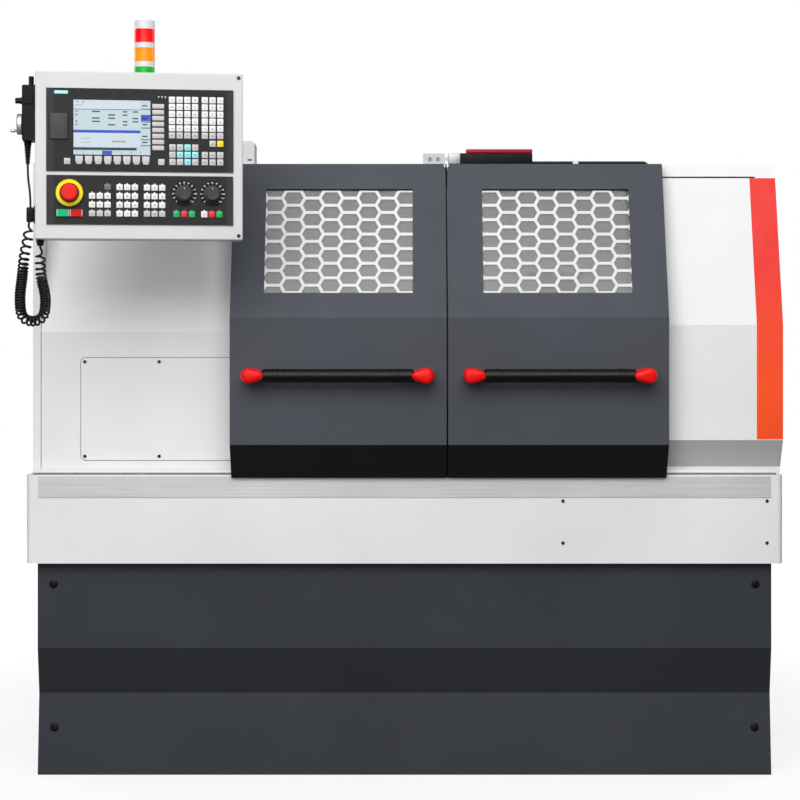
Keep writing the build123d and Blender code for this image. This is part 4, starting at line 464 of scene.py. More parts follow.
def brushed(
    name, levels, rough, stretch, metal=0.75, spread=0.12, patch=5.0, depth=0.00003, wear=(-0.06, 0.10),
):
    """Brushed or ground metal: fine lines one way, with cloudy patches."""
    made = Surface(name, Metallic=metal)
    lines = made.noise(1.0, CLOUD, made.stretched(stretch))
    base = made.clouded(lines, linear(levels), 1 - spread, 1 + spread)
    haze = made.clouded(made.noise(patch), PURE, 1 - spread, 1)
    return made.finished(made.mixed(base, haze), made.worn(lines, rough, wear), lines, depth)


def cast(
    name, levels, rough, shine, pit=260.0, sand=420.0, sand_share=0.5, patch=9.0, tone_shares=(0.86, 1.1),
    oil=14.0, depth=0.0003, wear=(-0.12, 0.10),
):
    """Painted casting: a sandy skin with shallow pits and oily patches."""
    made = Surface(name, shine)
    pits = made.node("TexVoronoi", Vector=made.place, Scale=pit).outputs["Distance"]
    sandy = made.mixed(made.noise(sand, CLOUD), pits, "MIX", sand_share)
    base = made.clouded(made.noise(patch, BLOTCH), linear(levels), *tone_shares)
    return made.finished(base, made.worn(made.noise(oil, CLOUD), rough, wear), sandy, depth)


def rubber(
    name, levels, rough, shine, bloom=90.0, pale_share=1.6, bloom_shares=(0.35, 0.75), grain=2200.0,
    depth=0.00004, wear=(-0.08, 0.08),
):
    """Rubber: a dull skin with a fine grain and a paler bloom."""
    made = Surface(name, shine)
    patches = made.noise(bloom, BLOTCH)
    base = made.clouded(patches, linear(levels), 1, pale_share, *bloom_shares)
    return made.finished(base, made.worn(patches, rough, wear), made.noise(grain, GRAIN), depth)


def stripe_paint(
    foot=(255, 84, 30), top=(238, 36, 22), fade_levels=(0.95, 1.25), patch=4.0, least_share=0.94, rub=40.0,
    rough=(0.28, 0.42), grain=500.0, depth=0.00004,
):
    """The stripe's film: red above, turning to orange below."""
    made = Surface("stripe_film", shine=0.3)
    flecks = made.clouded(made.noise(patch, CLOUD), PURE, least_share, 1)
    paint = made.mixed(made.faded(foot, top, fade_levels), flecks)
    return made.finished(paint, made.ranged(made.noise(rub, CLOUD), *rough), made.noise(grain, GRAIN), depth)


def pane_look(
    foot=(140, 140, 140), top=(92, 92, 92), fade_levels=(1.18, 1.42), patch=3.5, least_share=0.9,
    stretch=(30.0, 900.0, 900.0), rough=(0.18, 0.34), depth=0.00002,
):
    """A guard pane of hazy polycarbonate with fine scratches, a dusting of coolant, and painted shade that
    darkens it towards its top.
    """
    made = Surface("pane_haze_and_shade", shine=0.35, Alpha=0.62)
    clouds = made.clouded(made.noise(patch, BLOTCH), PURE, least_share, 1)
    scratches = made.noise(1.0, PLAIN, made.stretched(stretch))
    # Painted shade: the pane's grey runs darker towards its top, like the lit chamber seen through it
    paint = made.mixed(made.faded(foot, top, fade_levels), clouds)
    return made.finished(paint, made.ranged(scratches, *rough), scratches, depth)


def lens_look(
    name, levels, flow=60.0, tone_shares=(0.88, 1.08), rub=150.0, rough=(0.18, 0.3), grain=900.0,
    depth=0.00003,
):
    """A tinted lamp lens, bright through its wall."""
    made = Surface(name, shine=0.4, Emission_Strength=0.25, Transmission_Weight=0.35)
    base = made.clouded(made.noise(flow, CLOUD), linear(levels), *tone_shares)
    worn = made.ranged(made.noise(rub), *rough)
    return made.finished(base, worn, made.noise(grain, GRAIN), depth, Emission_Color=base)


def glowing(name, levels, strength, grid=1800.0, least_share=0.94, rub=50.0, rough=(0.2, 0.3), depth=0.00001):
    """Part of the lit display: its own light with a faint dot grid."""
    made = Surface(name, shine=0.3, Emission_Strength=strength)
    dots = made.noise(grid, GRAIN)
    base = made.clouded(dots, linear(levels), least_share, 1)
    return made.finished(base, made.ranged(made.noise(rub), *rough), dots, depth, Emission_Color=base)


# White, stand and door coats carry painted shade on the faces that look down
WHITE = coat("white_powder_coat", (238, 238, 239), 0.42, underside_shade=(0.62, 0.45), shine=0.25)
PENDANT_WHITE = coat("pendant_powder_coat", (217, 217, 217), 0.42, shine=0.25)
STAND = coat("stand_powder_coat", (58, 61, 67), 0.55, 420.0, 0.00018, 3.0, 0.09, (0.5, 0.25), 0.15)
DOOR = coat("door_powder_coat", (76, 79, 86), 0.5, 420.0, 0.00015, 2.0, 0.07, (0.13, 0.45), 0.12)
GUARD = coat("guard_paint", (222, 222, 222), 0.45, shine=0.25)
TRIM = brushed("trim_brushed_steel", (214, 214, 214), 0.42, (4.0, 900.0, 900.0), 0.15)
GROUND = brushed("ground_steel", (176, 178, 182), 0.28, (12.0, 700.0, 700.0))
TURNED = brushed("turned_steel", (168, 170, 174), 0.26, (900.0, 60.0, 60.0))
ZINC = brushed("zinc_plate", (172, 174, 176), 0.4, (120.0, 120.0, 400.0))
ALUMINIUM = brushed("turned_aluminium", (206, 207, 210), 0.3, (800.0, 60.0, 60.0))
CASTING = cast("casting_paint", (150, 154, 158), 0.5, 0.35)
MOTOR = cast("motor_paint", (28, 29, 31), 0.5, 0.3)
BLACK_STEEL = coat("blacked_steel", (44, 45, 48), 0.45, 900.0, 0.00003, shine=0.4)
# Black plastic, also used as painted shade in the arm's slot and in the key bolts' sockets
BLACK = moulded("black_plastic_and_shade", (15, 15, 16), 0.45, shine=0.15)
GRIP = moulded("grip_plastic", (10, 10, 11), 0.28, shine=0.22)
PANEL = moulded("panel_plastic", (44, 44, 45), 0.5, shine=0.15)
BAND = moulded("panel_band_plastic", (56, 56, 57), 0.5, shine=0.15)
COVER = moulded("cover_plastic", (68, 68, 69), 0.5, shine=0.25)
KEY_WHITE = moulded("key_white", (236, 236, 236), 0.45, 0.03)
KEY_GREY = moulded("key_grey", (198, 196, 195), 0.45, 0.04)
KEY_DARK = moulded("key_dark", (112, 112, 112), 0.45, 0.05)
KEY_YELLOW = moulded("key_yellow", (250, 224, 20), 0.42, 0.04)
KEY_CYAN = moulded("key_cyan", (150, 228, 230), 0.42, 0.04)
KEY_GREEN = moulded("key_green", (10, 176, 92), 0.42, 0.05)
KEY_RED = moulded("key_red", (222, 34, 52), 0.42, 0.05)
BADGE_TEAL = moulded("badge_teal", (16, 96, 98), 0.4, 0.04)
BADGE_CYAN = moulded("badge_cyan", (176, 244, 240), 0.4, 0.03)
MARK = moulded("key_mark_ink", (78, 80, 84), 0.55, 0.05)
WHITE_MARK = moulded("white_mark_ink", (232, 232, 232), 0.5, 0.04)
ESTOP_RED = moulded("stop_mushroom_red", (240, 30, 8), 0.5, shine=0.25, depth=0.00002)
ESTOP_YELLOW = moulded("collar_yellow", (248, 232, 14), 0.45, 0.04, 0.25)
START_GREEN = moulded("start_green", (14, 190, 122), 0.5, shine=0.2)
STOP_RED = moulded("stop_red", (214, 8, 14), 0.5, shine=0.2)
HANDLE_RED = moulded("handle_red", (240, 10, 10), 0.25, shine=0.22, depth=0.00002)
LID_RED = moulded("lid_red", (170, 14, 46), 0.45, shine=0.25)
KNOB = moulded("knob_plastic", (60, 60, 61), 0.45, shine=0.3)
TOWER = moulded("tower_white", (228, 229, 230), 0.4, 0.03)
RUBBER = rubber("cord_rubber", (14, 14, 15), 0.5, 0.35)
# Grey for the seams, and for the painted shadow strip over the tray
GASKET_AND_SHADOW = rubber("gasket_and_shadow_grey", (112, 112, 114), 0.6, 0.2)
# Near-black for the seal between the doors and for the painted shadow strips above the windows
SEAL_AND_SHADOW = rubber("seal_and_shadow_black", (7, 7, 8), 0.75, 0.08)
BELT = rubber("belt_rubber", (24, 24, 25), 0.6, 0.3)
STRIPE = stripe_paint()
PANE = pane_look()
LENSES = {
    "lens_red": lens_look("lens_red_plastic", (250, 8, 20)),
    "lens_amber": lens_look("lens_amber_plastic", (252, 160, 8)),
    "lens_green": lens_look("lens_green_plastic", (26, 186, 60)),
}
SCREEN = glowing("screen_pale", (180, 198, 204), 0.14)
SCREEN_WHITE = glowing("screen_white", (190, 204, 211), 0.14)
SCREEN_BLUE = glowing("screen_blue", (44, 68, 176), 0.3)
SCREEN_DARK = glowing("screen_dark", (28, 56, 66), 0.1)
SCREEN_MARK = glowing("screen_mark", (34, 46, 58), 0.05)
SCREEN_ORANGE = glowing("screen_orange", (232, 150, 30), 0.3)

# Finishes of the solids, by the names of their nodes
NODE_LOOKS = (
    (STAND, "base_stand"),
    (WHITE, "chip_tray headstock_cover end_cover access_panel tailstock_cover rear_guard door_rails"),
    (WHITE, "electrical_cabinet cabinet_door"),
    (PENDANT_WHITE, "pendant_housing pendant_arm"),
    (TRIM, "trim_strip"),
    (DOOR, "left_door right_door"),
    (PANE, "left_window right_window"),
    (GUARD, "left_guard right_guard"),
    (GROUND, "bed cross_slide chuck_jaw_1 chuck_jaw_2 chuck_jaw_3"),
    (CASTING, "headstock carriage tailstock"),
    (TURNED, "spindle chuck bearings motor_pulley carriage_screw quill"),
    (ZINC, "interlock_key tool_turret"),
    (MOTOR, "drive_motors"),
    (BELT, "drive_belt"),
    (RUBBER, "interlock_cable mpg_cord mpg_coil"),
    (BLACK, "interlock_switch mpg_body cord_reliefs left_handle right_handle"),
    (PANEL, "control_panels"),
    (COVER, "usb_cover"),
    (SCREEN, "display_screen"),
    (KEY_GREY, "keypads"),
    (ESTOP_RED, "estop_button"),
    (START_GREEN, "start_button"),
    (STOP_RED, "stop_button"),
    (GRIP, "feed_knob spindle_knob mpg_selector"),
    (ALUMINIUM, "mpg_wheel"),
    (TOWER, "signal_tower"),
    *((look, lens) for lens, look in LENSES.items()),
)
for look, names in NODE_LOOKS:
    for node_name in names.split():
        slots = nodes[node_name].data.materials
        slots.clear()
        slots.append(look)


# Cords
def on_pendant(route):
    return [PENDANT @ Vector((u, CORD_LEVEL, z)) for u, z in route]


def smooth_line(name, points, resolution):
    """A curve whose control points are a route's points."""
    curve = bpy.data.curves.new(name, "CURVE")
    curve.dimensions = "3D"
    curve.resolution_u = resolution
    curve.use_fill_caps = True
    spline = curve.splines.new("NURBS")
    spline.points.add(len(points) - 1)
    for control, point in zip(spline.points, points):
        control.co = (*point, 1.0)
    spline.order_u = 3
    spline.use_endpoint_u = True
    return link(bpy.data.objects.new(name, curve))


def points_along(route):
    """Close points of the smooth curve through a route."""
    guide = smooth_line("guide", route, FINE_STEPS)
    mesh = bpy.data.meshes.new_from_object(guide)
    points = [vertex.co.copy() for vertex in mesh.vertices]
    curve = guide.data
    bpy.data.objects.remove(guide)
    bpy.data.curves.remove(curve)
    bpy.data.meshes.remove(mesh)
    return points


def helix(line):
    """Turns about a line: apart near its ends, close between, and opened a little round a bend."""
    across = PENDANT.to_3x3() @ Vector(BACK)
    spans = [(after - before).length for before, after in zip(line, line[1:])]
    total = sum(spans)
    made = [line[0]]
    travelled = 0.0
    angle = 0.0
    due = TURN / TURN_POINTS
    for index in range(1, len(line) - 1):
        span = spans[index]
        travelled += span
        along = (line[index + 1] - line[index - 1]).normalized()
        bend = (line[index + 1] - line[index]).angle(line[index] - line[index - 1], 0.0) / span
        close = CLOSE_PITCH / max(1 - TURN_RADIUS * bend, LEAST_BEND_SHARE)
        start = smoothed((OPEN_START - travelled) / OPEN_START * OPEN_EASE)
        end = smoothed((OPEN_END - total + travelled) / OPEN_END * OPEN_EASE)
        pitch = close + start * (OPEN_PITCH_START - close) + end * (OPEN_PITCH_END - close)
        lead = smoothed(min(travelled, total - travelled) / TURN_LEAD)
        step = TURN * span / (LEAD_PITCH + lead * (pitch - LEAD_PITCH))
        angle += step
        if angle < due:
            continue
        spot = line[index] - (angle - due) / step * span * along
        side = math.cos(due) * across.cross(along)
        rise = math.sin(due) * (across + TURN_TILT_SHARE * along)
        made.append(spot + lead * TURN_RADIUS * (side + rise))
        due += TURN / TURN_POINTS
    return made + [line[-1]]


def make_cords():
    straight = smooth_line("hand_wheel_cord", on_pendant(CORD_ROUTE), CORD_STEPS)
    straight.data.bevel_depth = CORD_DIAMETER / 2
    straight.data.bevel_resolution = CORD_ROUNDNESS
    curly = smooth_line("hand_wheel_curly_cord", helix(points_along(on_pendant(COIL_ROUTE))), WIRE_STEPS)
    curly.data.bevel_depth = WIRE_DIAMETER / 2
    curly.data.bevel_resolution = WIRE_ROUNDNESS
    for cord, node in ((straight, "mpg_cord"), (curly, "mpg_coil")):
        cord.data.materials.append(RUBBER)
        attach(cord, "pendant")
        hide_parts(node)


make_cords()

# Floor and light
FLOOR_SIZE = 30.0
FLOOR_LEVEL = -0.0002
FLOOR_TONE = (0.20, 0.20, 0.20, 1.0)
FLOOR_TONE_SHARES = (0.98, 1.02)
FLOOR_PATCH = 1.5
FLOOR_GLOW = 0.80
FLOOR_NEAR = 1.3
FLOOR_FAR = 3.0
FILL_LEVEL = 0.13
LAMPS = (
    ("front_lamp", (-0.7, -5.0, 4.2), (0.0, -0.3, 0.9), 6.0, 3.5, 290.0),
    ("low_lamp", (-1.2, -6.2, 1.7), (-0.2, 0.0, 0.9), 4.0, 2.0, 52.0),
    ("top_lamp", (0.2, -2.0, 5.0), (0.0, -0.3, 0.8), 5.0, 3.0, 50.0),
    ("left_back_lamp", (-4.5, 3.5, 2.8), (0.0, 0.2, 0.9), 3.0, 3.0, 90.0),
    ("right_back_lamp", (4.5, 3.5, 2.8), (0.0, 0.2, 0.9), 3.0, 3.0, 90.0),
)


def make_floor():
    mesh = bpy.data.meshes.new("floor")
    shape = bmesh.new()
    bmesh.ops.create_grid(shape, x_segments=4, y_segments=4, size=FLOOR_SIZE / 2)
    bmesh.ops.translate(shape, vec=(0, 0, FLOOR_LEVEL), verts=shape.verts)
    shape.to_mesh(mesh)
    shape.free()
    made = Surface("pale_floor", shine=0.1, Roughness=0.9)
    away = made.node("VectorMath", Vector=made.place)
    away.operation = "LENGTH"
    glow = made.ranged(away.outputs["Value"], FLOOR_GLOW, 1.0, FLOOR_NEAR, FLOOR_FAR)
    seen = made.node("Math", Value=glow)
    seen.operation = "MULTIPLY"
    made.tree.links.new(made.node("LightPath").outputs["Is Camera Ray"], seen.inputs[1])
    tone = made.clouded(made.noise(FLOOR_PATCH), FLOOR_TONE, *FLOOR_TONE_SHARES)
    feed(made.tree, made.shader, Base_Color=tone, Emission_Color=PURE, Emission_Strength=seen.outputs[0])
    mesh.materials.append(made.material)
    link(bpy.data.objects.new("floor", mesh))


def make_world():
    """White where the background is seen, also through glass, and a plain fill light elsewhere."""
    world = bpy.data.worlds.new("studio")
    bpy.context.scene.world = world
    world.use_nodes = True
    tree = world.node_tree
    path = tree.nodes.new("ShaderNodeLightPath").outputs
    either = feed(tree, tree.nodes.new("ShaderNodeMath"), Value=path["Is Camera Ray"])
    either.operation = "MAXIMUM"
    tree.links.new(path["Is Transmission Ray"], either.inputs[1])
    level = feed(tree, tree.nodes.new("ShaderNodeMapRange"), Value=either.outputs[0], To_Min=FILL_LEVEL)
    feed(tree, tree.nodes["Background"], Color=PURE, Strength=level.outputs["Result"])


def make_lamps():
    for name, place, target, width, height, power in LAMPS:
        lamp = bpy.data.lights.new(name, "AREA")
        lamp.shape = "RECTANGLE"
        lamp.size = width
        lamp.size_y = height
        lamp.energy = power
        holder = link(bpy.data.objects.new(name, lamp))
        holder.location = place
        aim = Vector(target) - Vector(place)
        holder.rotation_euler = aim.to_track_quat("-Z", "Y").to_euler()


make_floor()
make_world()
make_lamps()
bpy.context.scene.view_settings.view_transform = "Standard"

# Stripe on the tailstock cover
STRIPE_WIDTH = 0.064
STRIPE_RISE = 0.002
STRIPE_DROP = 0.034
STRIPE_FILM = 0.0004
TAIL_CHAMFER_RISE = 0.085
TAIL_FOLD_RISE = 0.365
TAIL_LEAN = math.radians(16.0)


def make_stripe():
    low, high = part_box("tailstock_cover")
    foot = low.z + TAIL_CHAMFER_RISE + STRIPE_RISE
    line = folded_front(low.y - STRIPE_FILM, foot, low.z + TAIL_FOLD_RISE, high.z - STRIPE_DROP, TAIL_LEAN)
    film = strip(line, (high.x - STRIPE_WIDTH, high.x), STRIPE_FILM)
    lone(film, STRAIGHT, "cover_stripe", "machine", "estop_red", STRIPE)


make_stripe()

# Seams round the access panel and beside the end cover, a seal between the doors, and painted shadow strips
# over the tray and above the windows
SEAM_WIDTH = 0.0016
SEAM_PROUD = 0.0005
ACCESS_CORNER_R = 0.012
HEAD_FOLD_RISE = 0.347
HEAD_LEAN = math.radians(19.3)
DOOR_CHAMFER_RISE = 0.083
DOOR_CHAMFER_RUN = 0.048
DOOR_FOLD_RISE = 0.388
DOOR_LEAN = math.radians(19.3)
TRACK_INSET = 0.015
TRACK_SETBACK = 0.013
TRACK_SHADOW_STRIP = 0.005
SEAL_WIDTH = 0.0034
SEAL_SETBACK = 0.008
SEAL_DEPTH = 0.012
WINDOW_WIDTH = 0.359
WINDOW_DROP = 0.0676
SHADOW_STRIP_HEIGHT = 0.0032
SHADOW_STRIP_DEPTH = 0.0018
SHADOW_STRIP_SOFT = 0.0005


def make_seams():
    build = Build()
    low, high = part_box("access_panel")
    middle = (low + high) / 2
    seam = round_band(high.x - low.x, high.z - low.z, ACCESS_CORNER_R, SEAM_WIDTH, SEAM_PROUD)
    build.add(seam, facing((middle.x, high.y, middle.z), FRONT))
    low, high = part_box("headstock_cover")
    line = folded_front(low.y - SEAM_PROUD, low.z, low.z + HEAD_FOLD_RISE, high.z, HEAD_LEAN)
    build.add(strip(line, (low.x - SEAM_WIDTH / 2, low.x + SEAM_WIDTH / 2), SEAM_PROUD))
    # Painted shadow: a grey strip along the foot of the door track, just above the tray, stands for the
    # shadow gap between them
    low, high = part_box("chip_tray")
    front = low.y + TRACK_SETBACK
    left, right = inset(low.x, high.x, TRACK_INSET)
    near = (left, front - SEAM_PROUD, high.z)
    build.box(near, (right, front + SEAM_PROUD, high.z + TRACK_SHADOW_STRIP), SEAM_PROUD / 2)
    build.piece("cover_seams_and_shadow", "machine", "handle_black", GASKET_AND_SHADOW)


def make_door_seals():
    low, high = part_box("left_door")
    front = low.y + SEAL_SETBACK
    line = folded_front(front, low.z + DOOR_CHAMFER_RISE, low.z + DOOR_FOLD_RISE, high.z, DOOR_LEAN)
    seal = strip([(front + DOOR_CHAMFER_RUN, low.z)] + line, (high.x, high.x + SEAL_WIDTH), SEAL_DEPTH)
    lone(seal, STRAIGHT, "door_seal", "left_door", "handle_black", SEAL_AND_SHADOW)
    # Painted shadow: a near-black strip under the top edge of each window opening stands for the shadow cast
    # by the door sheet's edge
    outward = Vector((0, -math.cos(DOOR_LEAN), math.sin(DOOR_LEAN)))
    for node in ("left_door", "right_door"):
        low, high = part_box(node)
        z = high.z - (WINDOW_DROP + SHADOW_STRIP_HEIGHT / 2) * math.cos(DOOR_LEAN)
        y = low.y + (z - low.z - DOOR_FOLD_RISE) * math.tan(DOOR_LEAN)
        middle = Vector(((low.x + high.x) / 2, y, z)) - SHADOW_STRIP_DEPTH / 2 * outward
        shadow_strip = rounded_box((WINDOW_WIDTH, SHADOW_STRIP_HEIGHT, SHADOW_STRIP_DEPTH), SHADOW_STRIP_SOFT)
        lone(shadow_strip, facing(middle, outward), node + "_window_shadow_strip", node, "handle_black", SEAL_AND_SHADOW)


make_seams()
make_door_seals()

# Screws and plugs
SCREW_R = 0.0042
SCREW_HEAD = 0.0022
SCREW_STEPS = 18
SOCKET_SHARES = ((0.0, 0.35), (0.42, 0.35), (0.46, 1.0), (0.80, 1.0), (1.0, 0.62), (1.0, 0.0))
SCREW_INSET = 0.0095
TRAY_SCREW_X = (0.385, 0.881)
TRAY_SCREW_Z = (0.569, 0.671)
REAR_INSET = 0.022
END_SCREW_SETBACK = 0.176
SCREWED_COVERS = (
    ("access_panel", SCREW_INSET, FRONT),
    ("headstock_cover", REAR_INSET, BACK),
    ("rear_guard", REAR_INSET, BACK),
    ("tailstock_cover", REAR_INSET, BACK),
)
PLUG_R = 0.0105
PLUG_HEAD = 0.003
PLUG_SHARES = ((0.0, 1.0), (0.5, 0.93), (0.82, 0.7), (1.0, 0.25), (1.0, 0.0))
PLUG_INSET = 0.039
PLUG_LEVEL = 0.466
LOW_PLUG_LEVEL = 0.114
FOOT_HEIGHT = 0.197
FOOT_LEAN_RUN = 0.022


def screw_head(radius=SCREW_R, height=SCREW_HEAD, shares=SOCKET_SHARES):
    return turned([(radius * across, height * up) for across, up in shares], SCREW_STEPS)


def add_screws(build, points, normal, *sizes):
    for point in points:
        build.add(screw_head(*sizes), facing(point, normal))


def corners(x_range, z_range, y, middle=False):
    """Points at the corners of an upright rectangle, and half way along it if asked."""
    places = list(x_range) + ([sum(x_range) / 2] if middle else [])
    return [(x, y, z) for x in places for z in z_range]


def make_screws():
    build = Build()
    for node, margin, normal in SCREWED_COVERS:
        low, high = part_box(node)
        y = low.y if normal == FRONT else high.y
        ranges = (inset(low.x, high.x, margin), inset(low.z, high.z, margin))
        add_screws(build, corners(*ranges, y, True), normal)
    low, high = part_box("chip_tray")
    add_screws(build, corners(TRAY_SCREW_X, TRAY_SCREW_Z, low.y), FRONT)
    low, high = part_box("end_cover")
    levels = (low.z + REAR_INSET, (low.z + high.z) / 2, high.z - REAR_INSET)
    depths = (low.y + END_SCREW_SETBACK, high.y - REAR_INSET)
    add_screws(build, [(low.x, y, z) for y in depths for z in levels], LEFT)
    build.piece("cover_screws", "machine", "bearing_steel", BLACK_STEEL)
    plugs = Build()
    low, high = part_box("base_stand")
    span = inset(low.x, high.x, PLUG_INSET)
    sizes = (PLUG_R, PLUG_HEAD, PLUG_SHARES)
    foot_y = low.y + FOOT_LEAN_RUN * LOW_PLUG_LEVEL / FOOT_HEIGHT
    add_screws(plugs, corners(span, [PLUG_LEVEL], low.y), FRONT, *sizes)
    add_screws(plugs, corners(span, [LOW_PLUG_LEVEL], foot_y), (0, -FOOT_HEIGHT, FOOT_LEAN_RUN), *sizes)
    plugs.piece("lifting_plugs", "machine", "handle_black", BLACK)
    caps = Build(PENDANT)
    low, high = local_box("pendant_housing")
    levels = inset(low.z, high.z, SCREW_INSET)
    add_screws(caps, corners([high.x - SCREW_INSET], levels, low.y), FRONT)
    caps.piece("pendant_screws", "pendant", "bearing_steel", BLACK_STEEL)


make_screws()

# Door handles: a black bar between two drop-shaped red ends
END_R = 0.019
END_LENGTH = 0.060
END_DOME = 0.016
END_LAYERS = 9
TIP_POWER = 1.2
DOME_POWER = 0.42
DROP_STEPS = 36
BAR_R = 0.016
BAR_STEPS = 40
NECK_R = 0.011
BAR_SOCKET = 0.017
BAR_COLLAR = 0.0008
COLLAR_LENGTH = 0.012
BAR_STANDOFF = 0.040


def drop_loop(size, height):
    """One level of an end piece: round at its blunt side and pointed along +X."""
    points = []
    for step in range(DROP_STEPS):
        angle = TURN * step / DROP_STEPS
        run, rise = math.cos(angle), math.sin(angle)
        if run > 0:
            rise = math.copysign(math.sqrt(1 - run ** TIP_POWER), rise)
            run *= END_LENGTH / END_R - 1
        points.append((END_R + size * run * END_R, size * rise * END_R, height))
    return points


def drop_end(depth):
    """An egg-shaped end piece, blunt at the origin and domed in front."""
    straight = depth - END_DOME
    loops = [drop_loop(1.0, 0.0), drop_loop(1.0, straight)]
    for layer in range(1, END_LAYERS):
        angle = math.pi / 2 * layer / END_LAYERS
        loops.append(drop_loop(math.cos(angle) ** DOME_POWER, straight + END_DOME * math.sin(angle)))
    return skin(loops + [[(END_R, 0, depth)]])


def make_handle(node, body):
    low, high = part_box(node)
    level = (low.z + high.z) / 2
    ends = Build()
    for x, side in ((low.x, 1), (high.x, -1)):
        place = facing((x, high.y, level), FRONT) @ Matrix.Diagonal((side, 1, 1, 1))
        ends.add(drop_end(high.y - low.y), place)
    ends.piece(node + "_ends", body, "estop_red", HANDLE_RED)
    length = high.x - low.x - 2 * BAR_SOCKET
    collar = BAR_R + BAR_COLLAR
    flare = END_LENGTH - BAR_SOCKET - COLLAR_LENGTH
    line = [(0, 0), (NECK_R, 0), (NECK_R, flare), (BAR_R, flare + COLLAR_LENGTH / 2)]
    for start in (END_LENGTH, length - END_LENGTH - COLLAR_LENGTH):
        end = start + COLLAR_LENGTH
        line += [(BAR_R, start), (collar, start + BAR_COLLAR), (collar, end - BAR_COLLAR), (BAR_R, end)]
    line += [(BAR_R, length - flare - COLLAR_LENGTH / 2), (NECK_R, length - flare)]
    line += [(NECK_R, length), (0, length)]
    place = facing((low.x + BAR_SOCKET, high.y - BAR_STANDOFF, level), RIGHT)
    lone(turned(line, BAR_STEPS), place, node + "_bar", body, "handle_black", GRIP, replaces=[node])


make_handle("left_handle", "left_door")
make_handle("right_handle", "right_door")

# Interlock switch: grey head, black body, red lid, a clip for the cable, and the key's bolts with painted
# shade in their sockets
SWITCH_SOFT = 0.0015
SWITCH_HEAD = 0.030
SWITCH_LID = 0.010
SWITCH_LID_INSET = 0.014
CLIP_AT = 0.423
CLIP_WIDTH = 0.014
CLIP_WALL = 0.0025
KEY_PLATE = 0.054
KEY_LEVEL = 0.0135
KEY_WALL = 0.004
KEY_BOLT_SPACING = 0.020
KEY_BOLT_R = 0.0055
KEY_BOLT_HEAD = 0.004
KEY_SOCKET_SHADE_R = 0.0024
HEX = 6


def make_interlock():
    low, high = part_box("interlock_switch")
    body_x = low.x + SWITCH_HEAD
    lid_z = high.z - SWITCH_LID
    case = Build()
    case.box(low, (body_x, high.y, lid_z), SWITCH_SOFT, steps=3)
    case.box((body_x, low.y, low.z), (high.x, high.y, lid_z), SWITCH_SOFT, material=1, steps=3)
    case.box((body_x + SWITCH_LID_INSET, low.y, lid_z), high, 2 * SWITCH_SOFT, material=2, steps=3)
    looks = (ZINC, BLACK, LID_RED)
    case.piece("interlock_switch_case", "right_door", "switch_black", *looks, replaces=["interlock_switch"])
    low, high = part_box("interlock_cable")
    clip = Build()
    clip_low = (CLIP_AT - CLIP_WIDTH / 2, low.y - CLIP_WALL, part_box("right_door")[1].z)
    clip_high = (CLIP_AT + CLIP_WIDTH / 2, high.y + CLIP_WALL, high.z + CLIP_WALL)
    clip.box(clip_low, clip_high, CLIP_WALL / 2, steps=3)
    clip.piece("cable_clip", "right_door", "tower_grey", TOWER)
    low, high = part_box("interlock_key")
    plate_y = (low.y + high.y - KEY_WALL) / 2
    bolts = Build()
    for side in (-1, 1):
        spot = (low.x + (KEY_PLATE + side * KEY_BOLT_SPACING) / 2, plate_y, low.z + KEY_LEVEL)
        bolts.add(screw_head(KEY_BOLT_R, KEY_BOLT_HEAD), facing(spot, FRONT))
        # Painted shade: a black hexagon at the foot of each bolt's socket
        bolts.add(prism(circle(KEY_SOCKET_SHADE_R, HEX), KEY_BOLT_HEAD / 2), facing(spot, FRONT), material=1)
    bolts.piece("key_bolts", "left_door", "key_steel", ZINC, BLACK)


make_interlock()

# Painted shade for a slot on the arm, bar-hole trim, and the cabinet door's louvres and latches
ARM_SLOT_PLACE = (-0.393, -0.150, 1.518)
ARM_SLOT_WIDTH = 0.012
ARM_SLOT_HEIGHT = 0.0034
ARM_SLOT_SHADE_FILM = 0.0004
BAR_HOLE_R = 0.045
TRIM_WIDTH = 0.006
TRIM_PROUD = 0.003
LOUVRE_COUNT = 8
LOUVRE_PITCH = 0.024
LOUVRE_WIDTH = 0.22
LOUVRE_PROUD = 0.007
LOUVRE_DROP = 0.016
LOUVRE_WALL = 0.0015
LOUVRE_TOP_SHARES = (0.34, 0.90)
LATCH_LEVEL_SHARES = (0.22, 0.78)
LATCH_INSET = 0.034
LATCH_LINE = ((0.014, 0), (0.014, 0.003), (0.012, 0.0048), (0.0095, 0.0048), (0.0095, 0.0036), (0, 0.0036))
LATCH_WING = 0.0035
LATCH_REACH = 0.0085
LATCH_PROUD = 0.009


